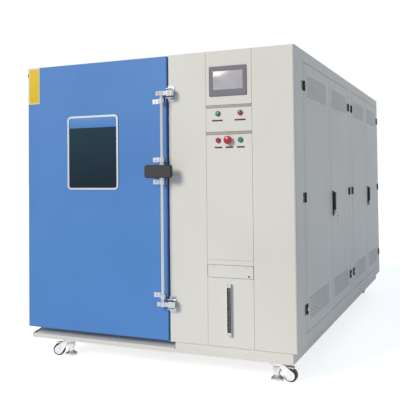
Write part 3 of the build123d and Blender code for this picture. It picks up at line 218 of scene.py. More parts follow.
def powder_coat(name, light, dark, roughness=0.46, grain=900.0, bump=0.05, specular=0.3):
    """Baked powder coat: fine orange peel about a millimetre across, satin, with a faint drift of tone."""
    material, tree, shader, place = finish_material(name)
    colour = mottled(tree, place, light, dark, COAT_DRIFT)
    tree.links.new(colour, shader.inputs["Base Color"])
    shader.inputs["Roughness"].default_value = roughness
    shader.inputs["IOR"].default_value = 1.5
    shader.inputs["Specular IOR Level"].default_value = specular
    peel = node(tree, "ShaderNodeTexNoise", {"Scale": grain, "Detail": 1.0}, {"Vector": place})
    height = peel.outputs["Fac"]
    dent = node(tree, "ShaderNodeBump", {"Strength": bump, "Distance": PEEL_DEPTH}, {"Height": height})
    tree.links.new(dent.outputs["Normal"], shader.inputs["Normal"])
    return material


def brushed_steel(name, light, dark, stretch, roughness=0.3):
    """Brushed stainless sheet: noise drawn out along one axis gives hairlines and uneven roughness."""
    material, tree, shader, place = finish_material(name)
    drawn = node(tree, "ShaderNodeMapping", {"Scale": stretch}, {"Vector": place})
    drawn = drawn.outputs["Vector"]
    hair = node(tree, "ShaderNodeTexNoise", {"Scale": 1.0, "Detail": 4.0}, {"Vector": drawn})
    tone = node(
        tree,
        "ShaderNodeMix",
        {6: rgb(dark), 7: rgb(light)},
        {0: hair.outputs["Fac"]},
        data_type="RGBA",
    )
    rough = node(
        tree,
        "ShaderNodeMapRange",
        {"From Min": 0.3, "From Max": 0.7, "To Min": roughness - 0.07, "To Max": roughness + 0.1},
        {"Value": hair.outputs["Fac"]},
    )
    tree.links.new(tone.outputs[2], shader.inputs["Base Color"])
    tree.links.new(rough.outputs["Result"], shader.inputs["Roughness"])
    shader.inputs["Metallic"].default_value = 1.0
    return material


def moulded(name, light, dark, roughness=0.5, grain=1400.0, bump=0.08, scale=6.0):
    """Moulded plastic or rubber: fine even texture from the tool, and a faint drift of tone."""
    material, tree, shader, place = finish_material(name)
    colour = mottled(tree, place, light, dark, scale)
    tree.links.new(colour, shader.inputs["Base Color"])
    shader.inputs["Roughness"].default_value = roughness
    grit = node(tree, "ShaderNodeTexNoise", {"Scale": grain, "Detail": 2.0}, {"Vector": place})
    height = grit.outputs["Fac"]
    dent = node(tree, "ShaderNodeBump", {"Strength": bump, "Distance": GRIT_DEPTH}, {"Height": height})
    tree.links.new(dent.outputs["Normal"], shader.inputs["Normal"])
    return material


def cast_metal(name, light, dark, roughness=0.45, grain=600.0):
    """Cast or plated metal: metallic, with a sand-cast skin of fine pits and patches of duller metal."""
    material, tree, shader, place = finish_material(name)
    colour = mottled(tree, place, light, dark, CAST_DRIFT, 0.4, 0.6)
    tree.links.new(colour, shader.inputs["Base Color"])
    shader.inputs["Metallic"].default_value = 1.0
    patch = node(tree, "ShaderNodeTexNoise", {"Scale": 40.0, "Detail": 2.0}, {"Vector": place})
    rough = node(
        tree,
        "ShaderNodeMapRange",
        {"From Min": 0.35, "From Max": 0.65, "To Min": roughness - 0.08, "To Max": roughness + 0.1},
        {"Value": patch.outputs["Fac"]},
    )
    tree.links.new(rough.outputs["Result"], shader.inputs["Roughness"])
    pit = node(tree, "ShaderNodeTexNoise", {"Scale": grain, "Detail": 2.0}, {"Vector": place})
    height = pit.outputs["Fac"]
    dent = node(tree, "ShaderNodeBump", {"Strength": 0.1, "Distance": GRIT_DEPTH}, {"Height": height})
    tree.links.new(dent.outputs["Normal"], shader.inputs["Normal"])
    return material


# Heights over which the window's colour turns from its deep tint to a painted reflection, in metres, and how
# much the noise adds to the painted reflection
PAINTED_REFLECTION_LOW = BASE + 0.9
PAINTED_REFLECTION_HIGH = BASE + 1.35
PAINTED_REFLECTION_NOISE = 0.35
# Place along X between the two lamps, in metres
LENS_SPLIT = LEFT + 1.405


def glass(name, tints, transmission, specular):
    """Clear smooth sheet, let through in part: one tint, or a deep tint that turns with height and soft noise
    into a lighter colour, which is a painted reflection.
    """
    material, tree, shader, place = finish_material(name)
    shader.inputs["Roughness"].default_value = 0.03
    shader.inputs["Transmission Weight"].default_value = transmission
    shader.inputs["IOR"].default_value = 1.5
    shader.inputs["Specular IOR Level"].default_value = specular
    if len(tints) == 1:
        shader.inputs["Base Color"].default_value = rgb(tints[0])
        return material
    # Painted reflection: over the deep tint, a lighter, greener colour rises with height and in soft noisy
    # patches
    axes = node(tree, "ShaderNodeSeparateXYZ", None, {"Vector": place})
    painted_reflection_cloud = node(tree, "ShaderNodeTexNoise", {"Scale": 2.2, "Detail": 1.0}, {"Vector": place})
    depth = node(
        tree,
        "ShaderNodeMapRange",
        {"From Min": PAINTED_REFLECTION_LOW, "From Max": PAINTED_REFLECTION_HIGH, "To Min": 0.0, "To Max": 0.6},
        {"Value": axes.outputs["Z"]},
    )
    blend = node(
        tree,
        "ShaderNodeMath",
        {1: PAINTED_REFLECTION_NOISE},
        {0: painted_reflection_cloud.outputs["Fac"]},
        operation="MULTIPLY",
    )
    painted_reflection_share = node(
        tree,
        "ShaderNodeMath",
        None,
        {0: depth.outputs["Result"], 1: blend.outputs[0]},
        operation="ADD",
    )
    colour = node(
        tree,
        "ShaderNodeMix",
        {6: rgb(tints[0]), 7: rgb(tints[1])},
        {0: painted_reflection_share.outputs[0]},
        data_type="RGBA",
    )
    tree.links.new(colour.outputs[2], shader.inputs["Base Color"])
    return material


def split_lens(name, left, right, boundary):
    """Moulded lamp lens: one colour to the left of a boundary along X and another to its right."""
    material, tree, shader, place = finish_material(name)
    axes = node(tree, "ShaderNodeSeparateXYZ", None, {"Vector": place})
    beyond = node(tree, "ShaderNodeMath", {1: boundary}, {0: axes.outputs["X"]}, operation="GREATER_THAN")
    colour = node(
        tree,
        "ShaderNodeMix",
        {6: rgb(left), 7: rgb(right)},
        {0: beyond.outputs[0]},
        data_type="RGBA",
    )
    tree.links.new(colour.outputs[2], shader.inputs["Base Color"])
    facet = node(tree, "ShaderNodeTexVoronoi", {"Scale": 600.0}, {"Vector": place})
    height = facet.outputs["Distance"]
    dent = node(tree, "ShaderNodeBump", {"Strength": 0.2, "Distance": PEEL_DEPTH}, {"Height": height})
    tree.links.new(dent.outputs["Normal"], shader.inputs["Normal"])
    shader.inputs["Roughness"].default_value = 0.2
    shader.inputs["Transmission Weight"].default_value = 0.25
    shader.inputs["Coat Weight"].default_value = 0.4
    return material


def look():
    """Light and colours as the sidebar holds them."""
    return bpy.context.scene.chamber_look


# What each finish is on the real machine, and how it is made
RECIPES = {
    # off-white polyester powder coat on steel sheet: fine orange peel, satin
    "cabinet_powder_coat": lambda n: powder_coat(n, look().cabinet_colour, look().cabinet_shade),
    # the same coat in mid blue on the chamber door
    "door_blue_powder_coat": lambda n: powder_coat(n, look().door_colour, look().door_shade),
    # warm grey enamel strips between the console plates
    "grey_enamel": lambda n: powder_coat(n, "#AFAEA6", "#A9A8A0"),
    # plain yellow film of the corner plate
    "yellow_film": lambda n: powder_coat(n, "#F0CC1C", "#E8C114", 0.5, 1200.0, 0.02),
    # pale margin round the yellow film
    "pale_film": lambda n: powder_coat(n, "#EFEBD2", "#E7E3C8", 0.5, 1200.0, 0.02),
    # brushed stainless, hairlines along X, for the liner, trims and rod brackets
    "brushed_stainless": lambda n: brushed_steel(n, "#C6CBD4", "#A7ADB8", (4.0, 300.0, 300.0)),
    # softer stainless sheet inside the chamber, with a paler colour that is painted light: it stands in for
    # the light that falls on it from every wall
    "liner_stainless": lambda n: brushed_steel(n, "#E8EAEC", "#D3D6DA", (300.0, 4.0, 300.0), 0.42),
    # bright zinc or chrome plate on the lock rod, collars and stubs, hairlines round the parts
    "bright_plated_steel": lambda n: brushed_steel(n, "#CDCFD4", "#A9ACB3", (500.0, 500.0, 6.0), 0.2),
    # sand-cast zinc alloy of the castor housings and feet
    "cast_zinc": lambda n: cast_metal(n, "#E4E5E7", "#CCCED1"),
    # thin aluminium fin stock
    "aluminium_fins": lambda n: cast_metal(n, "#D4D6D8", "#BFC2C5", 0.35, 2000.0),
    # semi-gloss black enamel on the service hinges
    "black_enamel": lambda n: powder_coat(n, "#1F2022", "#18191A", 0.35),
    # black moulded nylon of the grip and levers, fine texture
    "black_nylon": lambda n: moulded(n, "#1B1A1F", "#141318", 0.5),
    # black rubber, matt, slightly bloomed
    "black_rubber": lambda n: moulded(n, "#242424", "#191919", 0.75, 700.0, 0.12, 12.0),
    # dark grey moulded bezel of the touch screen, faintly violet
    "dark_bezel": lambda n: moulded(n, "#4A4852", "#413F49", 0.42),
    # pale display under a clear cover
    "display_cover": lambda n: moulded(n, "#C2BEC8", "#B6B3BE", 0.12, 900.0, 0.0, 9.0),
    # rigid foam, cream, open cells at the cut faces
    "rigid_foam": lambda n: moulded(n, "#E8DBA6", "#DCCB8E", 0.85, 350.0, 0.4, 20.0),
    # white translucent tank plastic
    "tank_polyethylene": lambda n: moulded(n, "#E2E6E6", "#D6DBDC", 0.4, 500.0, 0.05),
    # light grey moulded housings of the switchgear
    "switchgear_grey": lambda n: moulded(n, "#C4C6C8", "#B4B7BA", 0.5),
    # grey machine enamel
    "machine_enamel": lambda n: powder_coat(n, "#6B7276", "#5F666A", 0.45),
    # glossy polycarbonate of the push buttons and the float: smooth and bright
    "red_gloss_plastic": lambda n: moulded(n, "#C42A40", "#AE2038", 0.22, 800.0, 0.02),
    "green_gloss_plastic": lambda n: moulded(n, "#2A9870", "#218662", 0.22, 800.0, 0.02),
    # green lamp on the left and red lamp on the right
    "lamp_lens": lambda n: split_lens(n, "#2FA47A", "#B42242", LENS_SPLIT),
    # darker moulded collars round the lamps and buttons
    "green_collar": lambda n: moulded(n, "#145C4A", "#104E40", 0.3, 800.0, 0.02),
    "red_collar": lambda n: moulded(n, "#74182E", "#641428", 0.3, 800.0, 0.02),
    # dark backing of the level gauge
    "dark_backing": lambda n: moulded(n, "#26191B", "#1D1416", 0.5, 900.0, 0.05),
    # coated double pane before a dark chamber, deep blue; the greener, lighter colour above, broken by soft
    # noise, is a painted reflection
    "coated_glass_painted_reflection": lambda n: glass(n, ("#0A1B33", "#254A58"), 0.1, 0.15),
    # clear acrylic gauge tube: its contents show through
    "clear_tube": lambda n: glass(n, ("#C9C2C4",), 0.9, 0.3),
}


def finish(name):
    """Material of a finish, made the first time that it is asked for."""
    return bpy.data.materials.get(name) or RECIPES[name](name)


FINISH_OF = {
    "cabinet_powder_coat": "base_frame drip_sill left_panel roof_panel rear_panel control_front "
    "console_plates filler_flap side_frame service_door_1 service_door_2 service_door_3 service_door_4",
    "door_blue_powder_coat": "door_shell",
    "liner_stainless": "chamber_liner air_baffle",
    "brushed_stainless": "front_frame circulation_fan door_liner window_frame "
    "door_hinge_arms door_hinge_plates rod_brackets keepers",
    "bright_plated_steel": "rear_fittings switch_collars lock_rod level_gauge",
    "cast_zinc": "caster_plates caster_swivel_front_left caster_swivel_front_right caster_swivel_rear_left "
    "caster_swivel_rear_right levelling_foot_front_left levelling_foot_front_right",
    "aluminium_fins": "evaporator condenser",
    "black_enamel": "service_hinge_leaves compressors",
    "black_nylon": "handle_grip swing_lever_2 swing_lever_4 condenser_fan caster_wheel_front_left "
    "caster_wheel_front_right caster_wheel_rear_left caster_wheel_rear_right",
    "black_rubber": "door_buffer door_gasket",
    "dark_bezel": "touch_screen",
    "rigid_foam": "insulation",
    "tank_polyethylene": "water_tank",
    "switchgear_grey": "electrical_panel",
    "machine_enamel": "fan_motor",
    "red_gloss_plastic": "red_button stop_button gauge_float",
    "green_gloss_plastic": "green_button",
    "lamp_lens": "pilot_lenses",
    "coated_glass_painted_reflection": "window_glass",
}


# ---------------------------------------------------------------- forms taken from the frame


def copied(source, name, body, materials, choose, keep=None):
    """Copy of a CAD node with equal points merged. Choose gives each face's material index from its
    centre, and keep picks the faces by their corners where only a part is wanted."""
    mesh = NODES[source].data
    points = np.empty(len(mesh.vertices) * 3)
    mesh.vertices.foreach_get("co", points)
    corners = np.empty(len(mesh.loops), dtype=np.int32)
    mesh.loops.foreach_get("vertex_index", corners)
    points = points.reshape(-1, 3)
    corners = corners.reshape(-1, 3)
    if keep is not None:
        corners = corners[keep(points)[corners].all(1)]
    merged, index = np.unique(np.round(points[corners].reshape(-1, 3), 6), axis=0, return_inverse=True)
    faces = index.reshape(-1, 3)
    whole = (faces[:, 0] != faces[:, 1]) & (faces[:, 1] != faces[:, 2]) & (faces[:, 2] != faces[:, 0])
    faces = faces[whole]
    return put(name, merged, faces, body, materials, choose(merged[faces].mean(1)))


def slot_edges(centre, count, pitch, width):
    """Both edges of count slots of a width at a pitch, centred on a point, as a (count, 2) array."""
    middles = centre + (np.arange(count) - (count - 1) / 2) * pitch
    return np.stack((middles - width / 2, middles + width / 2), 1)


def slotted_tray(low, high, vents, sizes):
    """Folded sheet with fields of slots. The face is a grid whose lines are the slots' edges; a cell is open
    when its middle lies in a slot, and each open cell gets four walls. The edge is a fold that follows
    offset = r sin t, depth = r (1 - cos t) round the whole outline, then a flange."""
    along = (low[0] + high[0]) / 2
    fields = [slot_edges(along, sizes.slot_columns, sizes.slot_pitch, sizes.slot_width)]
    fields.append(slot_edges(along, sizes.slot_columns - 1, sizes.slot_pitch, sizes.slot_width))
    rows = np.concatenate([slot_edges(v, sizes.slot_rows, sizes.row_pitch, sizes.slot_height) for v in vents])
    fold = sizes.fold_radius
    u = np.unique(np.concatenate([[low[0] + fold, high[0] - fold]] + [f.ravel() for f in fields]))
    v = np.unique(np.concatenate(([low[1] + fold, high[1] - fold], rows.ravel())))
    cell_u = (u[1:] + u[:-1]) / 2
    cell_v = (v[1:] + v[:-1]) / 2
    inside = [((cell_u[:, None] > f[:, 0]) & (cell_u[:, None] < f[:, 1])).any(1) for f in fields]
    within = (cell_v[:, None] > rows[:, 0]) & (cell_v[:, None] < rows[:, 1])
    odd = np.arange(len(rows)) % sizes.slot_rows % 2 == 1
    open_cell = (within[:, ~odd].any(1)[:, None] & inside[0]) | (within[:, odd].any(1)[:, None] & inside[1])
    count_u, count_v = len(u), len(v)
    number = np.arange(count_u * count_v).reshape(count_v, count_u)
    grid = np.stack(np.meshgrid(u, v), -1).reshape(-1, 2)
    quads = np.stack((number[:-1, :-1], number[:-1, 1:], number[1:, 1:], number[1:, :-1]), -1)
    face = quads[~open_cell]
    back = face[:, ::-1] + count_u * count_v
    shift = count_u * count_v
    upright = np.argwhere(open_cell[:, 1:] != open_cell[:, :-1])
    first = number[upright[:, 0], upright[:, 1] + 1]
    second = number[upright[:, 0] + 1, upright[:, 1] + 1]
    level = np.argwhere(open_cell[1:] != open_cell[:-1])
    third = number[level[:, 0] + 1, level[:, 1]]
    fourth = number[level[:, 0] + 1, level[:, 1] + 1]
    a = np.concatenate((first, third))
    b = np.concatenate((second, fourth))
    walls = np.stack((a, b, b + shift, a + shift), -1)
    edge = np.concatenate((number[0, :-1], number[:-1, -1], number[-1, :0:-1], number[:0:-1, 0]))
    corner = grid[edge]
    outward = np.stack(
        (
            (corner[:, 0] == u[-1]).astype(float) - (corner[:, 0] == u[0]),
            (corner[:, 1] == v[-1]).astype(float) - (corner[:, 1] == v[0]),
        ),
        -1,
    )
    sheet = sizes.skin_sheet
    turn = np.linspace(0, np.pi / 2, 5)[1:]
    offset = np.concatenate((fold * np.sin(turn), [fold, fold - sheet, fold - sheet]))
    depth = np.concatenate((fold * (1 - np.cos(turn)), [sizes.tray_depth, sizes.tray_depth, fold]))
    inner = np.linspace(np.pi / 2, 0, 3)[1:-1]
    offset = np.concatenate((offset, (fold - sheet) * np.sin(inner)))
    depth = np.concatenate((depth, fold - (fold - sheet) * np.cos(inner)))
    ring = corner[None] + offset[:, None, None] * outward[None]
    rings = np.concatenate((np.broadcast_to(depth[:, None, None], (*ring.shape[:2], 1)), ring), -1)
    points = np.concatenate(
        (
            np.column_stack((np.zeros(len(grid)), grid)),
            np.column_stack((np.full(len(grid), sheet), grid)),
            rings.reshape(-1, 3),
        )
    )
    count = len(edge)
    loops = [edge] + [2 * shift + i * count + np.arange(count) for i in range(len(offset))] + [edge + shift]
    belts = [np.stack((p, q, np.roll(q, -1), np.roll(p, -1)), -1) for p, q in zip(loops[:-1], loops[1:])]
    points[:, 0] = RIGHT - points[:, 0]
    return points, np.concatenate([face, back, walls] + belts)


# ---------------------------------------------------------------- sizes and colours


class ChamberSizes(bpy.types.PropertyGroup):
    """Sizes of the sheet-metal skins and trims."""

    slot_width: bpy.props.FloatProperty(
        name="Slot width",
        description="Width of one air slot",
        default=0.023,
        min=0.005,
        unit="LENGTH",
    )
    slot_height: bpy.props.FloatProperty(
        name="Slot height",
        description="Height of one air slot",
        default=0.0045,
        min=0.001,
        unit="LENGTH",
    )
    slot_pitch: bpy.props.FloatProperty(
        name="Slot pitch",
        description="Distance between slots of a row",
        default=0.050,
        min=0.01,
        unit="LENGTH",
    )
    row_pitch: bpy.props.FloatProperty(
        name="Row pitch",
        description="Distance between rows of slots",
        default=0.010,
        min=0.005,
        unit="LENGTH",
    )
    slot_columns: bpy.props.IntProperty(
        name="Slots in a row",
        description="Slots in a long row; the rows between have one less",
        default=11,
        min=2,
    )
    slot_rows: bpy.props.IntProperty(
        name="Rows",
        description="Rows of slots in one field",
        default=13,
        min=1,
    )
    fold_radius: bpy.props.FloatProperty(
        name="Fold radius",
        description="Outer radius of the folded edges",
        default=0.003,
        min=0.0021,
        unit="LENGTH",
    )
    skin_sheet: bpy.props.FloatProperty(
        name="Sheet",
        description="Thickness of the service doors' sheet",
        default=0.002,
        min=0.0005,
        unit="LENGTH",
    )
    tray_depth: bpy.props.FloatProperty(
        name="Tray depth",
        description="Depth of the service doors' flanges",
        default=0.022,
        min=0.005,
        unit="LENGTH",
    )
    label_thickness: bpy.props.FloatProperty(
        name="Label thickness",
        description="Thickness of the bare label bars",
        default=0.0006,
        min=0.0001,
        unit="LENGTH",
    )


class ChamberLook(bpy.types.PropertyGroup):
    """Colours of the large panels, and light and floor of the picture."""

    cabinet_colour: bpy.props.FloatVectorProperty(
        name="Cabinet",
        description="Colour of the cabinet's coat where it is lightest",
        default=rgb("#E8E7E3")[:3],
        subtype="COLOR",
        size=3,
        min=0.0,
        max=1.0,
    )
    cabinet_shade: bpy.props.FloatVectorProperty(
        name="Cabinet shade",
        description="Colour of the cabinet's coat where it is darkest",
        default=rgb("#E2E1DC")[:3],
        subtype="COLOR",
        size=3,
        min=0.0,
        max=1.0,
    )
    door_colour: bpy.props.FloatVectorProperty(
        name="Door",
        description="Colour of the chamber door's coat where it is lightest",
        default=rgb("#588FD6")[:3],
        subtype="COLOR",
        size=3,
        min=0.0,
        max=1.0,
    )
    door_shade: bpy.props.FloatVectorProperty(
        name="Door shade",
        description="Colour of the chamber door's coat where it is darkest",
        default=rgb("#5289D0")[:3],
        subtype="COLOR",
        size=3,
        min=0.0,
        max=1.0,
    )
    ambient: bpy.props.FloatProperty(
        name="Ambient",
        description="Strength of the white room as it lights the machine",
        default=0.34,
        min=0.0,
    )
    ambient_colour: bpy.props.FloatVectorProperty(
        name="Ambient colour",
        description="Colour of the room's light",
        default=rgb("#D6E9FF")[:3],
        subtype="COLOR",
        size=3,
        min=0.0,
        max=1.0,
    )
    sun: bpy.props.FloatProperty(
        name="Key light",
        description="Strength of the soft light from the front left",
        default=2.12,
        min=0.0,
    )
    sun_colour: bpy.props.FloatVectorProperty(
        name="Key colour",
        description="Colour of the light from the front left",
        default=rgb("#FFF6E7")[:3],
        subtype="COLOR",
        size=3,
        min=0.0,
        max=1.0,
    )
    floor_paper: bpy.props.FloatProperty(
        name="Floor",
        description="Share of the light that the floor throws back",
        default=0.8,
        min=0.0,
        max=1.0,
        subtype="FACTOR",
    )
    floor_glow: bpy.props.FloatProperty(
        name="Floor glow",
        description="Lightness of the floor in full shadow, as the camera sees it",
        default=0.76,
        min=0.0,
    )


# ---------------------------------------------------------------- places of the trims, in millimetres

# A plate's shape is its width and height, thickness, corner radius and bevel; AT is the middle of its back
# Blue band over the window, and the yellow corner plate on its pale margin
BAND_AT, BAND_SHAPE = (495.5, -4, 1304.5), ((341, 65), 0.8, 4, 0.3)
CORNER_AT, CORNER_SHAPE = (47, -0.5, 1559), ((74, 222), 0.4, 2, 0.1)
MARGIN_AT, MARGIN_SHAPE = (47, 0, 1559), ((86, 236), 0.5, 3, 0.2)

# Service doors: where each starts behind the front, their width, heights, and the middles of the air slots
DOOR_STARTS = (200, 884, 1705, 2389)
DOOR_WIDTH = 681
DOOR_HEIGHTS = (67, 1613)
VENT_HEIGHTS = (195, 1483)
# Fittings stand this far outside the skin; beyond the handle plate and below this height they are plated
FITTING_GAP = 0.05
HANDLE_PLATE = 8.05
LOCK_TOP = 740

# Grey strips of the console, display pane, and bare label bars: the middle's x and z, and the width
STRIPS_AT = {"upper": (1401, 4, 1360), "lower": (1401, 4, 1207)}
STRIP_SHAPE = ((274, 16), 1.5, 1, 0.4)
PANE_AT, PANE_SHAPE = (1399.5, -4.5, 1508.5), ((180.4, 106.4), 0.9, 1, 0.3)
LABEL_BARS = ((1333, 1280, 66), (1470, 1280, 66), (1337, 1126, 46), (1403.5, 1126, 47), (1472.5, 1126, 47))
LABEL_HEIGHT, LABEL_RADIUS = 9, 2
# Finger dot on the flap: distances from the flap's face, each with the dot's radius there
DOT_AT, DOT_PROFILE, DOT_STEPS = (1512, 0, 400), ((0, 5), (1.2, 5), (1.8, 4.4), (2.1, 3)), 24
# Collars: the height that parts the two rows, and where the second colour starts in each
COLLAR_ROWS, UPPER_SPLIT, LOWER_SPLIT = 1250, 1401.5, 1436

# Level gauge: axis of the tube, ends of the caps, radius of the tube and half the width of the channel
GAUGE_AXIS, GAUGE_CAPS = (1396, -9), (84, 335)
TUBE_RADIUS, CHANNEL_HALF = 6.8, 11.2

# Stage, in metres and degrees: the floor's edge from the middle, the soft light, and the picture's camera
FLOOR_REACH = 60.0
KEY_FROM, KEY_SPREAD = (-0.5, -0.82, 0.52), 24.0
CAMERA_AT, CAMERA_TURNS = (1.7956, -4.9288, 1.1581), (("Z", 23.42), ("X", 91.67), ("Z", -0.597))
# Focal length and sensor's width in millimetres, upward shift as a share of the picture, and reach in metres
CAMERA_LENS, CAMERA_SENSOR, CAMERA_SHIFT, CAMERA_SIGHT = 57.48, 36.0, -0.1104, 200.0


# ---------------------------------------------------------------- operators


class CHAMBER_OT_finishes(bpy.types.Operator):
    """Give every node of the frame its finish"""

    bl_idname = "chamber.finishes"
    bl_label = "Finishes"

    def execute(self, context):
        left = set(NODES)
        for name, members in FINISH_OF.items():
            for member in members.split():
                if member not in NODES:
                    raise RuntimeError(f"the frame has no node named {member}")
                data = NODES[member].data
                data.materials.clear()
                data.materials.append(finish(name))
                left.discard(member)
        if left:
            raise RuntimeError(f"these nodes have no finish: {sorted(left)}")
        return {"FINISHED"}


class CHAMBER_OT_door_trims(bpy.types.Operator):
    """Put the blue band above the window and the plain corner plate on the chamber door"""

    bl_idname = "chamber.door_trims"
    bl_label = "Door trims"

    def execute(self, context):
        door = "chamber_door"
        blue = finish("door_blue_powder_coat")
        band = plate("window_header_band", at(*BAND_AT), *BAND_SHAPE, door, blue)
        pale = finish("pale_film")
        plate("door_corner_margin", at(*MARGIN_AT), *MARGIN_SHAPE, door, pale)
        yellow = finish("yellow_film")
        plate("door_corner_plate", at(*CORNER_AT), *CORNER_SHAPE, door, yellow)
        return {"FINISHED"}


def fitting_metal(centres):
    """One for the lock and its keys, none for the black hinge leaves and handle plates."""
    beyond = centres[:, 0] > RIGHT + HANDLE_PLATE * MM
    return (beyond & (centres[:, 2] < BASE + LOCK_TOP * MM)).astype(np.int32)


class CHAMBER_OT_service_doors(bpy.types.Operator):
    """Make the folded skins of the four service doors with their fine air slots, and keep their fittings"""

    bl_idname = "chamber.service_doors"
    bl_label = "Service doors"

    def execute(self, context):
        sizes = context.scene.chamber_sizes
        vents = [at(0, 0, z)[2] for z in VENT_HEIGHTS]
        black_and_plated = [finish("black_enamel"), finish("bright_plated_steel")]
        for number, start in enumerate(DOOR_STARTS, 1):
            body = f"service_door_{number}"
            low = at(0, start, DOOR_HEIGHTS[0])[1:]
            high = at(0, start + DOOR_WIDTH, DOOR_HEIGHTS[1])[1:]
            points, faces = slotted_tray(low, high, vents, sizes)
            skin = put(f"service_skin_{number}", points, faces, body, [finish("cabinet_powder_coat")])
            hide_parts(body)
            fittings = copied(
                body,
                f"service_fittings_{number}",
                body,
                black_and_plated,
                fitting_metal,
                keep=lambda p: p[:, 0] > RIGHT + FITTING_GAP * MM,
            )
        return {"FINISHED"}


def collar_colour(centres):
    """Green for the upper left and lower right collars, red for the others, plated steel behind the plate."""
    upper = centres[:, 2] > BASE + COLLAR_ROWS * MM
    right = centres[:, 0] > LEFT + np.where(upper, UPPER_SPLIT, LOWER_SPLIT) * MM
    return np.where(centres[:, 1] > FRONT, 2, np.where(upper == right, 1, 0)).astype(np.int32)


class CHAMBER_OT_console(bpy.types.Operator):
    """Make the console's grey strips, bare label bars, display pane, coloured collars and the flap's dot"""

    bl_idname = "chamber.console"
    bl_label = "Console trims"

    def execute(self, context):
        label = context.scene.chamber_sizes.label_thickness / MM
        cabinet = "cabinet"
        grey = finish("grey_enamel")
        for name, spot in STRIPS_AT.items():
            plate(f"console_strip_{name}", at(*spot), *STRIP_SHAPE, cabinet, grey)
        black = finish("black_nylon")
        for number, (x, z, width) in enumerate(LABEL_BARS, 1):
            shape = ((width, LABEL_HEIGHT), label, LABEL_RADIUS, label / 3)
            bar = plate(f"label_bar_{number}", at(x, 0, z), *shape, cabinet, black)
        plate("display_pane", at(*PANE_AT), *PANE_SHAPE, cabinet, finish("display_cover"))
        collars = copied(
            "switch_collars",
            "switch_collars_shown",
            cabinet,
            [finish("green_collar"), finish("red_collar"), finish("bright_plated_steel")],
            collar_colour,
        )
        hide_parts("switch_collars")
        dot = revolved("flap_dot", at(*DOT_AT), (0, -1, 0), DOT_PROFILE, "filler_flap", black, DOT_STEPS)
        return {"FINISHED"}


def gauge_part(centres):
    """One for the clear tube between the caps, two for the dark backing beside it, none for the frame."""
    axis = at(*GAUGE_AXIS, 0)
    bottom, top = (at(0, 0, z)[2] for z in GAUGE_CAPS)
    reach = np.hypot(centres[:, 0] - axis[0], centres[:, 1] - axis[1])
    between = (centres[:, 2] > bottom + 1e-4) & (centres[:, 2] < top - 1e-4)
    within = np.abs(centres[:, 0] - axis[0]) < CHANNEL_HALF * MM
    tube = (reach < TUBE_RADIUS * MM) & between
    return np.where(tube, 1, np.where(within & between, 2, 0)).astype(np.int32)


class CHAMBER_OT_level_gauge(bpy.types.Operator):
    """Split the level gauge into its bright frame, dark backing and clear tube, so that the float is seen"""

    bl_idname = "chamber.level_gauge"
    bl_label = "Level gauge"

    def execute(self, context):
        gauge = copied(
            "level_gauge",
            "level_gauge_shown",
            "cabinet",
            [finish("bright_plated_steel"), finish("clear_tube"), finish("dark_backing")],
            gauge_part,
        )
        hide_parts("level_gauge")
        return {"FINISHED"}


def seen_rays(tree):
    """One for rays from the camera, and for those that mirror or pass on what it sees; none for the light."""
    path = node(tree, "ShaderNodeLightPath")
    most = node(
        tree,
        "ShaderNodeMath",
        None,
        {0: path.outputs["Is Camera Ray"], 1: path.outputs["Is Glossy Ray"]},
        operation="MAXIMUM",
    )
    return node(
        tree,
        "ShaderNodeMath",
        None,
        {0: most.outputs[0], 1: path.outputs["Is Transmission Ray"]},
        operation="MAXIMUM",
    ).outputs[0]


def white_room(settings):
    """World that lights the machine softly, and is plain white where it is seen or mirrored."""
    world = bpy.data.worlds.new("white_room")
    world.use_nodes = True
    tree = world.node_tree
    tree.nodes.clear()
    seen = seen_rays(tree)
    colour = node(
        tree,
        "ShaderNodeMix",
        {6: rgb(settings.ambient_colour), 7: (1.0, 1.0, 1.0, 1.0)},
        {0: seen},
        data_type="RGBA",
    )
    level = node(
        tree,
        "ShaderNodeMapRange",
        {"To Min": settings.ambient, "To Max": 1.0},
        {"Value": seen},
    )
    room = node(
        tree,
        "ShaderNodeBackground",
        None,
        {"Color": colour.outputs[2], "Strength": level.outputs["Result"]},
    )
    node(tree, "ShaderNodeOutputWorld", None, {"Surface": room.outputs[0]})
    return world


def white_floor(settings):
    """Paper floor that keeps the machine's shadow, and is near white where it is seen or mirrored."""
    finish_of_floor = bpy.data.materials.new("white_floor")
    finish_of_floor.use_nodes = True
    tree = finish_of_floor.node_tree
    tree.nodes.clear()
    paper = node(tree, "ShaderNodeBsdfDiffuse", {"Color": rgb((settings.floor_paper,) * 3)})
    glow = node(tree, "ShaderNodeEmission", {"Strength": settings.floor_glow})
    none = node(tree, "ShaderNodeEmission", {"Strength": 0.0})
    pick = node(
        tree,
        "ShaderNodeMixShader",
        None,
        {0: seen_rays(tree), 1: none.outputs[0], 2: glow.outputs[0]},
    )
    both = node(tree, "ShaderNodeAddShader", None, {0: paper.outputs[0], 1: pick.outputs[0]})
    node(tree, "ShaderNodeOutputMaterial", None, {"Surface": both.outputs[0]})
    corners = np.array(((-1, -1, 0), (1, -1, 0), (1, 1, 0), (-1, 1, 0))) * FLOOR_REACH
    mesh = bpy.data.meshes.new("floor")
    mesh.from_pydata(corners.tolist(), [], [(0, 1, 2, 3)])
    mesh.materials.append(finish_of_floor)
    return bpy.data.objects.new("floor", mesh)


def key_light(settings):
    """Soft light of a far lamp at the front left."""
    lamp = bpy.data.lights.new("key_light", "SUN")
    lamp.energy = settings.sun
    lamp.color = settings.sun_colour
    lamp.angle = np.radians(KEY_SPREAD)
    key = bpy.data.objects.new("key_light", lamp)
    key.rotation_euler = Vector(KEY_FROM).to_track_quat("Z", "Y").to_euler()
    return key


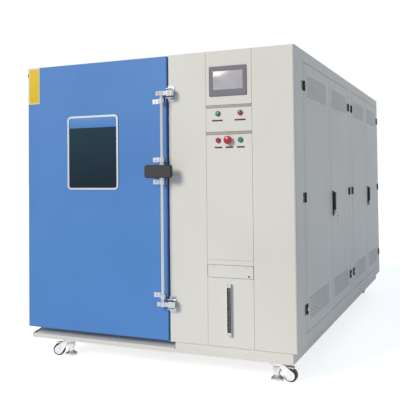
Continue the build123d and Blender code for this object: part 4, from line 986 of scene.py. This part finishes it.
def picture_camera():
    """Camera at the picture's place, turned about Z, then X, then its own line of sight."""
    lens = bpy.data.cameras.new("camera")
    lens.lens = CAMERA_LENS
    lens.sensor_width = CAMERA_SENSOR
    lens.shift_y = CAMERA_SHIFT
    lens.clip_end = CAMERA_SIGHT
    camera = bpy.data.objects.new("camera", lens)
    turn = Matrix.Identity(4)
    for axis, degrees in CAMERA_TURNS:
        turn = turn @ Matrix.Rotation(np.radians(degrees), 4, axis)
    camera.matrix_world = Matrix.Translation(CAMERA_AT) @ turn
    return camera


class CHAMBER_OT_stage(bpy.types.Operator):
    """Set the white room, the floor, the light and the camera"""

    bl_idname = "chamber.stage"
    bl_label = "Stage"

    def execute(self, context):
        settings = context.scene.chamber_look
        scene = context.scene
        scene.view_settings.view_transform = "Standard"
        scene.world = white_room(settings)
        floor = white_floor(settings)
        key = key_light(settings)
        camera = picture_camera()
        for thing in (floor, key, camera):
            scene.collection.objects.link(thing)
        scene.camera = camera
        return {"FINISHED"}


class CHAMBER_PT_panel(bpy.types.Panel):
    """Sidebar panel with the sizes and the steps in the order that they run"""

    bl_label = "Test chamber"
    bl_idname = "CHAMBER_PT_panel"
    bl_space_type = "VIEW_3D"
    bl_region_type = "UI"
    bl_category = "Test chamber"

    def draw(self, context):
        for group in (context.scene.chamber_sizes, context.scene.chamber_look):
            column = self.layout.column(align=True)
            for prop in group.__annotations__:
                column.prop(group, prop)
        for operator in STEPS:
            self.layout.operator(operator.bl_idname)


STEPS = (
    CHAMBER_OT_finishes,
    CHAMBER_OT_door_trims,
    CHAMBER_OT_service_doors,
    CHAMBER_OT_console,
    CHAMBER_OT_level_gauge,
    CHAMBER_OT_stage,
)
CLASSES = (ChamberSizes, ChamberLook, *STEPS, CHAMBER_PT_panel)


def register():
    for cls in CLASSES:
        bpy.utils.register_class(cls)
    bpy.types.Scene.chamber_sizes = bpy.props.PointerProperty(type=ChamberSizes)
    bpy.types.Scene.chamber_look = bpy.props.PointerProperty(type=ChamberLook)


def unregister():
    del bpy.types.Scene.chamber_look
    del bpy.types.Scene.chamber_sizes
    for cls in reversed(CLASSES):
        bpy.utils.unregister_class(cls)


def main():
    """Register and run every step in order."""
    register()
    bpy.ops.chamber.finishes()
    bpy.ops.chamber.door_trims()
    bpy.ops.chamber.service_doors()
    bpy.ops.chamber.console()
    bpy.ops.chamber.level_gauge()
    bpy.ops.chamber.stage()


if __name__ == "__main__":
    main()
